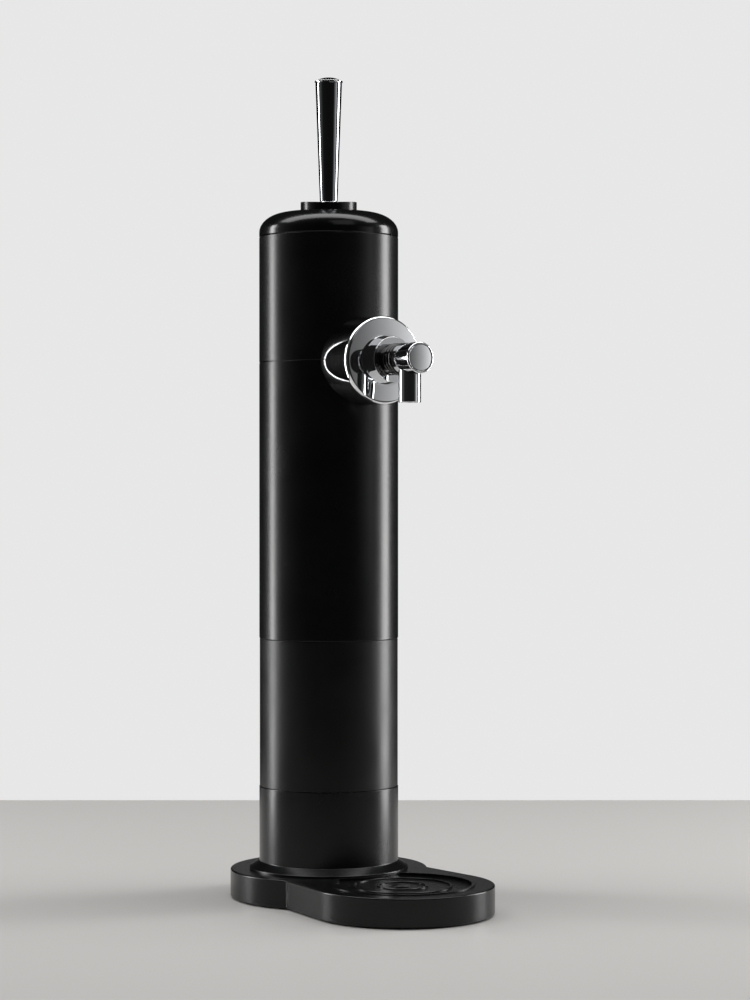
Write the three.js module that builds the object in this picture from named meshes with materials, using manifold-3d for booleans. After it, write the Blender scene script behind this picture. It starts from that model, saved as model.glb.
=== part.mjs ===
// A countertop beer pourer: a black tower that holds an open can or bottle, a head that lifts off with a
// hand lever on top, a chrome tap with an ultrasonic foamer at the front, and a round stand for the glass.
// Millimetres, +Z up. The tower stands on the Z axis, z = 0 is the table and the tap points along -Y.
import * as THREE from "three";
import { mergeVertices } from "three/addons/utils/BufferGeometryUtils.js";
import Module from "manifold-3d";

const wasm = await Module();
wasm.setup();

// Shared clearances and cuts
const faceGap = 0.3; // between pieces that are cut to fit each other
const closeGap = 0.1; // between pieces that are screwed or glued together
const overrun = 6; // how far a cut runs past the face that it opens
const weldDistance = 1e-4;

// Sides of the round pieces, from the tower down to wires
const towerSides = 36;
const plateSides = 28;
const midSides = 16;
const smallSides = 12;
const fineSides = 8;
const outlineSteps = 16; // half the steps of each arc of the base's outline
const hoseSteps = 10;
const elbowSteps = 4;
const longHoseSteps = 22;
const wireSides = 6;
const archSides = 144;
const hexSides = 6;

// Base: round foot under the tower and round stand under the glass, in one moulding
const footRadius = 70.8;
const standRadius = 64;
const standReach = 96; // from the tower's axis to the middle of the glass stand
const bridgeHalfWidth = 58.4; // where the stand's straight sides leave the round foot
const baseTop = 20.7;
const baseClearance = 0.8; // the moulding's rim hangs this far above the table
const baseWall = 2.5;
const baseCeiling = 2.7;
const baseBevel = 1;
const coverThickness = 2;
const coverGap = 0.4;
const padHeight = 1.2;
const towerPadInset = 18.8; // from the foot's rim
const standPadInset = 20; // from the stand's rim
const weightInset = 16.8; // from the foot's rim
const weightHole = 27;
const weightHeight = 8;

// Screws and the bosses that take them
const screwRadius = 1.5;
const screwFit = 0.1; // radial room round a screw's thread
const screwHeadRadius = 3;
const screwHeadHeight = 1.2;
const screwLength = 9;
const socketRadius = 1.4;
const bossRadius = 3.6;
const rearBossInset = 8.8; // from the foot's rim
const frontBossInset = 9; // from the stand's rim
const frontBossAngle = 40; // degrees either side of the front

// Lift-out tray that the glass stands on
const trayInset = 13.5; // from the stand's rim
const trayRecess = 2.6;
const trayFloor = 1.2;
const trayRimWidth = 2.2;
const trayProud = 0.5;
const trayMargin = 1; // between the foot of the tower and the tray's hollow back edge
const trayRibWidth = 1.8;
const trayRibHeight = 0.8;
const trayRibs = 2;
const trayHubRadius = 6; // raised middle, level with the rings

// Tower: three tubes that plug into each other
const towerRadius = 50;
const towerWall = 3;
const middleRadius = 49.7;
const lowSeam = 80;
const highSeam = 186;
const headSeam = 384;
const seamChamfer = 0.4;
const spigotFit = 0.4;
const spigotWall = 2;
const spigotDepth = 12;
const spigotShoulder = 4;
const sealGrooveDepth = 0.9;
const sealGrooveHeight = 2.2;
const sealGrooveRise = 3; // from the spigot's lower edge
const flareRadius = 57;
const flareRise = 5.3;
const flareLip = 0.8;
const floorThickness = 3;
const stubRadius = 16;
const stubWall = 3;
const stubDrop = 11;
const nutRadius = 24;
const nutHeight = 8;
const seatHeight = 10;
const seatThickness = 4;
const seatRimWidth = 6;
const seatFit = 0.8;

// Head: heights are above the seam between tower and head
const headHeight = 90;
const chassisWall = 2.5;
const chassisDrop = 28;
const chassisRise = 12;
const partitionHeight = -17; // top face of the plate that closes the bottle chamber
const partitionThickness = 3;
const flangeRise = 3.7;
const flangeReach = 1.7;
const dipBossRadius = 8;
const dipBossRise = 2;
const dipBossDrop = 3;
const postRadius = 4;
const postReach = 39;
const postAngles = [36, 155, -50]; // degrees from +X
const postHoleDepth = 12;
const ledgeWidth = 3.5;
const ledgeHeight = 3.5;
const deckHeight = 52;
const deckThickness = 3;
const airSlots = 3; // in the back wall, under the battery door
const airSlotPitch = 8;
const airSlotWidth = 1.4;
const airSlotHeight = 6;
const airSlotRise = 3.5;

// Domed cap of the head, and the ring round the lever
const capRound = 21; // how far the shoulder's curve reaches in from the side
const capRise = 14.2; // and how high it goes
const capWall = 2.5;
const capSkirt = 3.5;
const capCrown = 0.5;
const capFlatRadius = 21;
const capRoundSteps = 5;
const capInnerSteps = 2;
const lipWall = 2;
const lipDepth = 8;
const lipShoulder = 3;
const leverRingRadius = 20.2;
const leverRingWall = 3.5;
const leverRingHeight = 7.1;
const leverRingArch = 87; // radius of the ring's top, which falls towards the front and the back
const leverRingBevel = 0.6;
const leverSlotHalfLength = 10.3;
const leverSlotHalfWidth = 3.8;

// Tap: distances along it are from the tower's axis
const tapDrop = 0.7; // the tap's axis is this far under the head seam
const tapNotchRadius = 9;
const escutcheonRadius = 31;
const escutcheonRim = 70.5; // where the straight side ends
const escutcheonWall = 2.5;
const escutcheonRound = 1.8; // how far the edge's curve reaches in from the side
const escutcheonLip = 3.2; // and how far it goes forwards
const escutcheonRoundSteps = 3;
const domeHeight = 0.8;
const domeFlatRadius = 18; // the collar's seat
const domeSteps = 2;
const collarRadius = 17;
const collarFrontRadius = 15.8;
const collarLength = 10;
const collarBevel = 0.8;
const neckBore = 8.6;
const neckRadius = 10.2;
const neckRibRadius = 11;
const neckRibs = 3;
const neckLength = 13.8;
const stemRadius = 6;
const stemFit = 0.3;
const stemBore = 2.6;
const barbRadius = 4;
const barbLength = 7;
const stemStart = 36.5; // where the barb for the hose ends and the thread begins
const tapNutRadius = 10;
const tapNutThickness = 4;
const nutPadReach = 41.2;
const nutPadHalfWidth = 11;
const knobRadius = 10.8;
const knobLength = 20.2;
const knobBevel = 0.9;
const stemSeat = 2.5;
const beerChamberRadius = 5;
const beerChamberDepth = 11.5; // from the back of the knob
const membrane = 1.5;
const foamerBayRadius = 8.4;
const knobCapRadius = 9.4;
const knobCapThickness = 3;
const knobCapRecess = 0.3;
const foamerRadius = 6;
const foamerThickness = 2;
const spoutRadius = 7.8;
const spoutSetback = 6.5; // from the back of the knob to the spout's axis
const spoutBottom = 353;
const spoutBore = 2.5;
const spoutNippleRadius = 4;
const spoutNippleRise = 4.3; // above the lowest point of the knob
const spoutBevel = 0.6;
const wireOffset = 7.3; // from the tap's axis to its wires, above the stem
const wireHoleX = 12.2;
const wireHoleRise = 5.2;
const wireHoleRadius = 1.3;

// Tubes for beer and air
const dipTubeRadius = 4;
const dipTubeBore = 2.6;
const dipTubeBottom = 40;
const dipTubeRise = 7; // above the partition
const hoseFit = 0.3;
const beerHoseWall = 1.7;
const airNippleRadius = 1.7;
const airNippleBore = 0.9;
const airNippleRise = 8;
const airNippleX = -13;
const airNippleY = -24;
const airHoseFit = 0.3;
const airHoseWall = 1.2;
const airHoseLoop = 46.5;

// Air pump
const pumpX = -29.5;
const pumpY = -4;
const motorRadius = 12;
const motorHeight = 30;
const motorCollarWall = 2.1;
const motorCollarHeight = 8;
const pumpHeadRadius = 13.5;
const pumpHeadWall = 2;
const pumpHeadHeight = 22;
const pumpNozzleRise = 4;
const pumpShaftRadius = 1;
const pumpShaftFit = 0.1;
const pumpShaftDepth = 15;
const crankRadius = 5;
const crankThrow = 1.5;
const crankHeight = 4;
const crankRise = 5;

// Battery bay
const cellRadius = 7.25;
const cellHeight = 50.5;
const cellTipRadius = 2.7;
const cellTipHeight = 1;
const cellPitch = 15.3;
const cells = 3;
const bayCellRoom = 0.95; // between the outer cells and the bay's side walls
const bayWall = 1.5;
const bayFit = 1; // room round the box where it goes through the deck
const bayFront = 19.5;
const bayBack = 38.5;
const bayBottom = 13;
const bayHeadroom = 4.5;
const bayEarLength = 4;
const bayEarThickness = 2;
const bayEarFront = 27;
const bayEarBack = 34;
const contactThickness = 0.8;
const contactInset = 5; // from the bay's sides
const contactTipRadius = 3;
const windowInset = 1; // from the bay's sides
const windowBelowBay = 1.2;
const windowAboveBay = 1.8;
const doorGroove = 0.8;
const doorGrooves = 3;
const doorGroovePitch = 4;
const doorGrooveRise = 8; // the lowest finger groove, under the door's upper edge

// Circuit board
const boardLeft = 14;
const boardRight = 36;
const boardFrontReach = 22; // ahead of the tower's axis
const boardBack = 10;
const boardThickness = 1.6;
const boardDrop = 4;
const boardPegRadius = 2;
const boardPegInset = 3;
const chipSize = 7;
const chipHeight = 1.4;
const capacitorRadius = 3;
const capacitorHeight = 8;
const socketLength = 8;
const socketHeight = 5;

// Lever, its pivot and the two sprung switches under it
const pivotHeight = 86;
const pinRadius = 2;
const pinFit = 0.1;
const hubRadius = 6;
const hubHalfWidth = 6;
const cheekGap = 0.6;
const cheekThickness = 2.5;
const cheekHalfDepth = 5;
const armHalfLength = 16.5;
const armHalfWidth = 3;
const armThickness = 3.5;
const leverRodRadius = 3.2;
const leverRodHeight = 75;
const plungerReach = 13;
const plungerRoom = 0.5; // under the arm, so that the arm can roll over the plunger's dome
const plungerDome = 3;
const plungerDomeSteps = 4;
const plungerFlange = 3.6;
const plungerFlangeHeight = 1.2;
const plungerStem = 1.6;
const plungerInsert = 4;
const plungerTravel = 3.4;
const switchHalfWidth = 5;
const switchHalfDepth = 4;
const switchHeight = 10;
const springRadius = 2.7;
const springWire = 0.45;
const springTurns = 5;
const springSteps = 8; // to a turn
const springOutlineSides = 5;
const ferruleRadius = 6.4;
const ferruleRise = 28.3; // above the pivot
const ferruleHeight = 1.9;
const handleGroove = 0.5;
const handleFootRadius = 6.4;
const handleTopRadius = 9.6;
const handleLength = 84.4;
const handleBevel = 0.6;
const handleFit = 0.3;
const handleCapRadius = 10.1;
const handleCapGroove = 0.3;
const handleCapBrim = 1.1;
const handleCapDome = 2.6;
const handleCapDomeSteps = 4;
const handleCapSpigot = 6;
const handleCapSpigotLength = 7;

// Wires
const pumpWireWidth = 2.4;
const pumpWireThickness = 1.2;
const piezoWireRadius = 0.9;

// Worked out from the sizes above
const towerInner = towerRadius - towerWall;
const spigotRadius = towerInner - spigotFit;
const coverTop = padHeight + coverThickness;
const towerPadRadius = footRadius - towerPadInset;
const standPadRadius = standRadius - standPadInset;
const weightRadius = footRadius - weightInset;
const trayRadius = standRadius - trayInset;
const trayFloorHeight = baseTop - trayRecess;
const tapHeight = headSeam - tapDrop;
const shieldFace = escutcheonRim + escutcheonLip + domeHeight;
const knobBack = shieldFace + collarLength + neckLength + closeGap + closeGap;
const knobFront = knobBack + knobLength;
const beerChamberEnd = knobBack + beerChamberDepth;
const spoutReach = knobBack + spoutSetback;
const deckTop = deckHeight + deckThickness;
const armUnderside = pivotHeight - hubRadius;
const handleFoot = ferruleRise + ferruleHeight + handleGroove; // above the pivot
const bayHalfWidth = (cellPitch * (cells - 1)) / 2 + cellRadius + bayCellRoom + bayWall;
const bayTop = bayBottom + bayWall + cellHeight + bayHeadroom + bayWall;
const contactHalfWidth = bayHalfWidth - contactInset;
const windowHalfWidth = bayHalfWidth - windowInset;
const windowBottom = bayBottom - windowBelowBay;
const windowTop = bayTop + windowAboveBay;
const capTop = headHeight + capSkirt + capRise + capCrown;
const pumpHeadBottom = partitionHeight + motorHeight;

// A closed geometry as a solid that can be cut and joined
function solidOf(geometry) {
  const loose = geometry.index ? geometry.toNonIndexed() : geometry;
  const bare = new THREE.BufferGeometry().setAttribute("position", loose.getAttribute("position"));
  const welded = mergeVertices(bare, weldDistance);
  const corners = welded.index.array;
  const faces = [];
  for (let i = 0; i < corners.length; i += 3) {
    const [a, b, c] = corners.subarray(i, i + 3);
    if (a !== b && b !== c && c !== a) faces.push(a, b, c);
  }
  const vertProperties = welded.attributes.position.array;
  return new wasm.Manifold(new wasm.Mesh({ numProp: 3, vertProperties, triVerts: new Uint32Array(faces) }));
}

// A solid as a flat-shaded geometry
function geometryOf(solid) {
  const { vertProperties, triVerts } = solid.getMesh();
  const indexed = new THREE.BufferGeometry();
  indexed.setAttribute("position", new THREE.BufferAttribute(vertProperties, 3));
  indexed.setIndex(new THREE.BufferAttribute(triVerts, 1));
  const geometry = indexed.toNonIndexed();
  geometry.computeVertexNormals();
  return geometry;
}

// A turned piece: its profile in [radius, height] pairs runs anticlockwise and starts and ends on the axis
function turned(profile, sides, x = 0, y = 0) {
  const points = profile.map(([radius, height]) => new THREE.Vector2(radius, height));
  return solidOf(new THREE.LatheGeometry(points, sides).rotateX(Math.PI / 2).translate(x, y, 0));
}

function disc(radius, low, high, sides, x = 0, y = 0) {
  return turned([[0, low], [radius, low], [radius, high], [0, high]], sides, x, y);
}

function ring(outer, inner, low, high, sides, x = 0, y = 0) {
  return turned([[inner, low], [outer, low], [outer, high], [inner, high], [inner, low]], sides, x, y);
}

function block([left, right], [front, back], [low, high]) {
  const box = new THREE.BoxGeometry(right - left, back - front, high - low);
  return solidOf(box.translate((left + right) / 2, (front + back) / 2, (low + high) / 2));
}

// A round bar that lies along X
function barX(radius, left, right, y, z, sides) {
  const bar = new THREE.CylinderGeometry(radius, radius, right - left, sides).rotateZ(Math.PI / 2);
  return solidOf(bar.translate((left + right) / 2, y, z));
}

// A round bar that lies along Y
function barY(radius, front, back, x, z, sides) {
  const bar = new THREE.CylinderGeometry(radius, radius, back - front, sides);
  return solidOf(bar.translate(x, (front + back) / 2, z));
}

function prism(shape, low, high, bevel = 0) {
  const geometry = new THREE.ExtrudeGeometry(shape, {
    depth: high - low - bevel - bevel,
    curveSegments: outlineSteps,
    bevelEnabled: bevel > 0,
    bevelThickness: bevel,
    bevelSize: bevel,
    bevelOffset: -bevel,
    bevelSegments: 1,
  });
  return solidOf(geometry.translate(0, 0, low + bevel));
}

// A tube or a plain cord along a smooth route
function alongRoute(route, shape, steps, sides) {
  const path = new THREE.CatmullRomCurve3(route.map((point) => new THREE.Vector3(...point)));
  return solidOf(new THREE.ExtrudeGeometry(shape, { extrudePath: path, steps, curveSegments: sides / 2 }));
}

function roundSection(outer, inner = 0) {
  const section = new THREE.Shape().absarc(0, 0, outer, 0, Math.PI * 2, false);
  if (inner > 0) section.holes.push(new THREE.Path().absarc(0, 0, inner, 0, Math.PI * 2, true));
  return section;
}

function union(...solids) {
  return solids.reduce((whole, solid) => whole.add(solid));
}

function cut(body, ...tools) {
  return tools.reduce((left, tool) => left.subtract(tool), body);
}

function finish(color, roughness, metalness) {
  return () => new THREE.MeshStandardMaterial({ color, roughness, metalness });
}

const satinBlack = finish(0x0b0b0c, 0.32, 0);
const matteBlack = finish(0x101011, 0.5, 0);
const glossBlack = finish(0x070708, 0.12, 0);
const innerPlastic = finish(0x2b2c2e, 0.6, 0);
const whitePlastic = finish(0xd8d8d4, 0.5, 0);
const chrome = finish(0xe6e8ea, 0.06, 1);
const steel = finish(0x9fa2a6, 0.3, 1);
const castIron = finish(0x4a4b4d, 0.6, 1);
const brass = finish(0xc2a04a, 0.3, 1);
const blackRubber = finish(0x151515, 0.85, 0);
const clearHose = finish(0xd9dcd6, 0.35, 0);
const boardGreen = finish(0x1d5a34, 0.5, 0);
const cellSleeve = finish(0x8d9094, 0.35, 0.2);
const ceramicWhite = finish(0xe9e4d6, 0.4, 0);

function addPiece(group, name, solid, material) {
  const mesh = new THREE.Mesh(geometryOf(solid), material());
  mesh.name = name;
  group.add(mesh);
  return mesh;
}

function polar(reach, degrees) {
  const angle = THREE.MathUtils.degToRad(degrees);
  return [reach * Math.cos(angle), reach * Math.sin(angle)];
}

// The base's outline, drawn in by inset: the foot's arc, two straight sides that touch the stand's arc
function footprint(inset) {
  const cornerY = -Math.sqrt(footRadius ** 2 - bridgeHalfWidth ** 2);
  const toCorner = new THREE.Vector2(bridgeHalfWidth, cornerY + standReach);
  const lean = toCorner.angle() - Math.acos(standRadius / toCorner.length());
  const foot = footRadius - inset;
  const stand = standRadius - inset;
  const touchX = stand * Math.cos(lean);
  const touchY = stand * Math.sin(lean) - standReach;
  const run = standReach * Math.cos(lean);
  const side = run - Math.sqrt(run ** 2 - touchX ** 2 - touchY ** 2 + foot ** 2);
  const cornerAngle = Math.atan2(touchY + side * Math.cos(lean), touchX - side * Math.sin(lean));
  const outline = new THREE.Shape();
  outline.absarc(0, 0, foot, cornerAngle, Math.PI - cornerAngle, false);
  outline.absarc(0, -standReach, stand, Math.PI - lean, Math.PI * 2 + lean, false);
  return outline;
}

// Where the three cover screws sit
function coverScrewPlaces() {
  const front = [-frontBossAngle, frontBossAngle].map((side) => {
    const [x, y] = polar(standRadius - frontBossInset, side - 90);
    return [x, y - standReach];
  });
  return [[0, footRadius - rearBossInset], ...front];
}

// The tray's round outline, hollowed at the back to go round the foot of the tower
function trayOutline(inset, low, high) {
  const bite = flareRadius + trayMargin + inset;
  const round = disc(trayRadius - inset, low, high, plateSides, 0, -standReach);
  return cut(round, disc(bite, low - overrun, high + overrun, towerSides));
}

function baseShell() {
  const ceiling = baseTop - baseCeiling;
  const mid = baseTop - baseCeiling / 2;
  const hollow = prism(footprint(baseWall), baseClearance - overrun, ceiling);
  const trayBed = disc(trayRadius + baseWall, trayFloorHeight - baseCeiling, mid, plateSides, 0, -standReach);
  const bosses = coverScrewPlaces().map(([x, y]) => {
    return disc(bossRadius, coverTop, mid, smallSides, x, y);
  });
  const holes = coverScrewPlaces().map(([x, y]) => {
    return disc(screwRadius + screwFit, coverTop - overrun, coverTop + screwLength, fineSides, x, y);
  });
  const skin = cut(prism(footprint(0), baseClearance, baseTop, baseBevel), hollow);
  const recess = trayOutline(0, trayFloorHeight, baseTop + overrun);
  const stubHole = disc(stubRadius + faceGap, ceiling - overrun, baseTop + overrun, midSides);
  return cut(union(skin, trayBed, ...bosses), recess, stubHole, ...holes);
}

function baseCover() {
  const plate = prism(footprint(baseWall + coverGap), padHeight, coverTop);
  const holes = coverScrewPlaces().flatMap(([x, y]) => [
    disc(screwRadius + screwFit, padHeight - overrun, coverTop + overrun, fineSides, x, y),
    disc(screwHeadRadius + faceGap, padHeight - overrun, padHeight + screwHeadHeight, smallSides, x, y),
  ]);
  return cut(plate, ...holes);
}

// A socket-head screw that hangs down from its head's top face at z = 0
function screw() {
  const shank = disc(screwRadius, -screwHeadHeight - screwLength, -screwHeadHeight / 2, fineSides);
  const head = disc(screwHeadRadius, -screwHeadHeight, 0, smallSides);
  const socket = disc(socketRadius, -screwHeadHeight / 2, overrun, hexSides);
  return cut(union(head, shank), socket);
}

// Shallow tray with a rim all round and raised rings that keep the glass out of the spill
function dripTray() {
  const floor = trayFloorHeight + trayFloor;
  const rim = baseTop + trayProud;
  const pocket = trayOutline(faceGap + trayRimWidth, floor, rim + overrun);
  const tray = cut(trayOutline(faceGap, trayFloorHeight, rim), pocket);
  const low = trayFloorHeight + trayFloor / 2;
  const ribTop = floor + trayRibHeight;
  const ribs = [disc(trayHubRadius, low, ribTop, plateSides, 0, -standReach)];
  for (let i = 1; i <= trayRibs; i += 1) {
    const middle = (trayRadius * i) / (trayRibs + 1);
    const [near, far] = [middle - trayRibWidth / 2, middle + trayRibWidth / 2];
    ribs.push(ring(far, near, low, ribTop, plateSides, 0, -standReach));
  }
  const room = trayOutline(faceGap + trayRimWidth / 2, trayFloorHeight, rim);
  return union(tray, ...ribs.map((rib) => rib.intersect(room)));
}

// Profile points of the spigot under a tower tube, from its lower inner edge to its shoulder
function spigotProfile(seam, shoulderRadius) {
  const foot = seam - spigotDepth;
  const groove = foot + sealGrooveRise;
  return [
    [spigotRadius - spigotWall, foot],
    [spigotRadius, foot],
    [spigotRadius, groove],
    [spigotRadius - sealGrooveDepth, groove],
    [spigotRadius - sealGrooveDepth, groove + sealGrooveHeight],
    [spigotRadius, groove + sealGrooveHeight],
    [spigotRadius, seam],
    [shoulderRadius - seamChamfer, seam],
    [shoulderRadius, seam + seamChamfer],
  ];
}

function towerTube(low, high, radius) {
  const shoulder = low + spigotShoulder;
  return turned(
    [
      ...spigotProfile(low, radius),
      [radius, high - seamChamfer],
      [radius - seamChamfer, high],
      [towerInner, high],
      [towerInner, shoulder],
      [spigotRadius - spigotWall, shoulder],
      [spigotRadius - spigotWall, low - spigotDepth],
    ],
    towerSides,
  );
}

function lowerTower() {
  const flareTop = baseTop + flareRise;
  const flareFoot = baseTop + flareLip;
  const waist = (towerRadius * 3 + flareRadius) / 4;
  const tube = turned(
    [
      [0, baseTop],
      [flareRadius, baseTop],
      [flareRadius, flareFoot],
      [waist, (flareTop + flareFoot) / 2],
      [towerRadius, flareTop],
      [towerRadius, lowSeam - seamChamfer],
      [towerRadius - seamChamfer, lowSeam],
      [towerInner, lowSeam],
      [towerInner, baseTop + floorThickness],
      [0, baseTop + floorThickness],
    ],
    towerSides,
  );
  const inFloor = baseTop + floorThickness / 2;
  const stub = ring(stubRadius, stubRadius - stubWall, baseTop - stubDrop, inFloor, midSides);
  return union(tube, stub);
}

function upperTower() {
  const notch = barY(tapNotchRadius, -towerRadius - overrun, -towerRadius / 2, 0, tapHeight, midSides);
  return cut(towerTube(highSeam, headSeam, towerRadius), notch);
}

// A round rubber ring that fills a groove in a spigot whose groove starts at z = groove
function sealRing(groove) {
  const floor = spigotRadius - sealGrooveDepth;
  const section = (towerInner - floor) / 2 - closeGap;
  const middle = (towerInner + floor) / 2;
  const height = groove + sealGrooveHeight / 2;
  const profile = [];
  for (let i = 0; i <= fineSides / 2; i += 1) {
    const angle = (Math.PI * 4 * i) / fineSides;
    profile.push([middle + section * Math.cos(angle), height + section * Math.sin(angle)]);
  }
  return turned(profile, towerSides);
}

// Rubber seat that centres the foot of a can or bottle
function bottleSeat() {
  const low = baseTop + floorThickness;
  const radius = towerInner - seatFit;
  const mouth = radius - seatRimWidth / 2;
  const cone = radius - seatRimWidth - seatRimWidth / 2;
  return turned(
    [
      [0, low],
      [radius, low],
      [radius, low + seatHeight],
      [mouth, low + seatHeight],
      [cone, low + seatThickness],
      [0, low + seatThickness],
    ],
    plateSides,
  );
}

function headChassis() {
  const inner = spigotRadius - chassisWall;
  const join = spigotRadius - chassisWall / 2;
  const partitionLow = partitionHeight - partitionThickness;
  const groove = sealGrooveRise - chassisDrop;
  const postFoot = partitionHeight - partitionThickness / 2;
  const holeFoot = deckHeight - postHoleDepth;
  const posts = postPlaces().map(([x, y]) => disc(postRadius, postFoot, deckHeight, smallSides, x, y));
  const collarTop = partitionHeight + motorCollarHeight;
  const body = union(
    ring(spigotRadius, inner, -chassisDrop, chassisRise, towerSides),
    disc(join, partitionLow, partitionHeight, towerSides),
    ring(spigotRadius + flangeReach, join, 0, flangeRise, towerSides),
    disc(dipBossRadius, partitionLow - dipBossDrop, partitionHeight + dipBossRise, smallSides),
    disc(motorRadius + faceGap + motorCollarWall, partitionLow, collarTop, midSides, pumpX, pumpY),
    disc(airNippleRadius, partitionLow, partitionHeight + airNippleRise, fineSides, airNippleX, airNippleY),
    block([-nutPadHalfWidth, nutPadHalfWidth], [-inner, -nutPadReach], [-chassisRise, chassisRise]),
    ...posts,
  );
  return cut(
    body,
    ring(towerRadius, spigotRadius - sealGrooveDepth, groove, groove + sealGrooveHeight, towerSides),
    disc(dipTubeRadius + closeGap, -chassisDrop, partitionHeight + overrun, smallSides),
    disc(motorRadius + faceGap, partitionHeight, collarTop + overrun, midSides, pumpX, pumpY),
    disc(airNippleBore, -chassisDrop, 0, fineSides, airNippleX, airNippleY),
    barY(stemRadius + stemFit, -towerRadius - overrun, overrun - nutPadReach, 0, -tapDrop, smallSides),
    barY(wireHoleRadius, -towerRadius - overrun, overrun - nutPadReach, wireHoleX, wireHoleRise, fineSides),
    ...airCuts(),
    ...screwHoles(holeFoot),
  );
}

function postPlaces() {
  return postAngles.map((angle) => polar(postReach, angle));
}

// Holes for the deck's screws, from the height low up through the deck
function screwHoles(low) {
  return postPlaces().map(([x, y]) => disc(screwRadius + screwFit, low, deckTop + overrun, fineSides, x, y));
}

// Narrow slots through the back wall, where the pump draws its air
function airCuts() {
  const cuts = [];
  for (let i = 0; i < airSlots; i += 1) {
    const left = (i - (airSlots - 1) / 2) * airSlotPitch - airSlotWidth / 2;
    const through = [spigotRadius - overrun, towerRadius + overrun];
    cuts.push(block([left, left + airSlotWidth], through, [airSlotRise, airSlotRise + airSlotHeight]));
  }
  return cuts;
}

function headShell() {
  const top = headHeight;
  const tube = turned(
    [
      [towerInner, 0],
      [towerRadius - seamChamfer, 0],
      [towerRadius, seamChamfer],
      [towerRadius, top - seamChamfer],
      [towerRadius - seamChamfer, top],
      [towerInner, top],
      [towerInner, 0],
    ],
    towerSides,
  );
  const ledgeLow = deckHeight - ledgeHeight;
  const ledge = ring(towerInner + towerWall / 2, towerInner - ledgeWidth, ledgeLow, deckHeight, towerSides);
  const bayRoom = windowHalfWidth + ledgeWidth;
  const ledgeCut = block([-bayRoom, bayRoom], [0, towerInner], [ledgeLow - overrun, deckHeight]);
  const through = [towerRadius / 2, towerRadius + overrun];
  return cut(
    union(tube, cut(ledge, ledgeCut)),
    disc(spigotRadius + flangeReach + faceGap, -overrun, flangeRise + faceGap, towerSides),
    barY(tapNotchRadius, -towerRadius - overrun, -towerRadius / 2, 0, -tapDrop, midSides),
    barY(wireHoleRadius, -towerRadius - overrun, -towerRadius / 2, wireHoleX, wireHoleRise, fineSides),
    block([-windowHalfWidth, windowHalfWidth], through, [windowBottom, windowTop]),
    ...airCuts(),
  );
}

// Curved door of the battery bay, which pulls straight off to the rear
function batteryDoor() {
  const half = windowHalfWidth - faceGap;
  const low = windowBottom + faceGap;
  const high = windowTop - faceGap;
  const wall = ring(towerRadius, towerInner, low, high, towerSides);
  const panel = wall.intersect(block([-half, half], [0, towerRadius + overrun], [low, high]));
  const grooves = [];
  for (let i = 0; i < doorGrooves; i += 1) {
    const height = high - doorGrooveRise - i * doorGroovePitch;
    grooves.push(barX(doorGroove, -cellPitch, cellPitch, towerRadius, height, fineSides));
  }
  return cut(panel, ...grooves);
}

function mechanismDeck() {
  const cheekInner = hubHalfWidth + cheekGap;
  const inDeck = deckTop - deckThickness / 2;
  const cheeks = [-1, 1].map((side) => {
    const [left, right] = [side * cheekInner, side * (cheekInner + cheekThickness)].sort((a, b) => a - b);
    const plate = block([left, right], [-cheekHalfDepth, cheekHalfDepth], [inDeck, pivotHeight]);
    return union(plate, barX(cheekHalfDepth, left, right, 0, pivotHeight, smallSides));
  });
  const pegPlaces = [
    [boardLeft + boardPegInset, boardPegInset - boardFrontReach],
    [boardRight - boardPegInset, boardBack - boardPegInset],
  ];
  const pegs = pegPlaces.map(([x, y]) => disc(boardPegRadius, deckHeight - boardDrop, inDeck, fineSides, x, y));
  const bayRoom = bayHalfWidth + bayFit;
  const below = deckHeight - overrun;
  return cut(
    union(disc(spigotRadius, deckHeight, deckTop, towerSides), ...cheeks, ...pegs),
    block([-bayRoom, bayRoom], [bayFront - bayFit, towerRadius], [below, deckTop + overrun]),
    barX(pinRadius + pinFit, -towerRadius / 2, towerRadius / 2, 0, pivotHeight, smallSides),
    ...screwHoles(below),
  );
}

// The cap's rounded shoulder and flat crown, drawn in by inset, from its lower edge to the axis
function capProfile(inset, steps) {
  const across = capRound - inset;
  const rise = capRise - inset;
  const centre = towerRadius - capRound;
  const points = [];
  for (let i = 0; i <= steps; i += 1) {
    const angle = (Math.PI * i) / (2 * steps);
    points.push([centre + across * Math.cos(angle), headHeight + capSkirt + rise * Math.sin(angle)]);
  }
  return [...points, [capFlatRadius, capTop - inset], [0, capTop - inset]];
}

function topCap() {
  const lipInner = spigotRadius - lipWall;
  const dome = turned(
    [
      ...capProfile(capWall, capInnerSteps).reverse(),
      [towerRadius - capWall, headHeight + lipShoulder],
      [lipInner, headHeight + lipShoulder],
      [lipInner, headHeight - lipDepth],
      [spigotRadius, headHeight - lipDepth],
      [spigotRadius, headHeight],
      [towerRadius - seamChamfer, headHeight],
      [towerRadius, headHeight + seamChamfer],
      ...capProfile(0, capRoundSteps),
    ],
    towerSides,
  );
  const half = leverSlotHalfLength - leverSlotHalfWidth;
  const through = [capTop - overrun, capTop + overrun];
  return cut(
    dome,
    block([-leverSlotHalfWidth, leverSlotHalfWidth], [-half, half], through),
    disc(leverSlotHalfWidth, ...through, smallSides, 0, half),
    disc(leverSlotHalfWidth, ...through, smallSides, 0, -half),
  );
}

// Ring round the lever's slot, with its top arched from front to back
function leverRing() {
  const inner = leverRingRadius - leverRingWall;
  const top = capTop + leverRingHeight;
  const wall = turned(
    [
      [inner, capTop],
      [leverRingRadius, capTop],
      [leverRingRadius, top - leverRingBevel],
      [leverRingRadius - leverRingBevel, top],
      [inner + leverRingBevel, top],
      [inner, top - leverRingBevel],
      [inner, capTop],
    ],
    plateSides,
  );
  const reach = leverRingRadius + overrun;
  return wall.intersect(barX(leverRingArch, -reach, reach, 0, top - leverRingArch, archSides));
}

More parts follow.
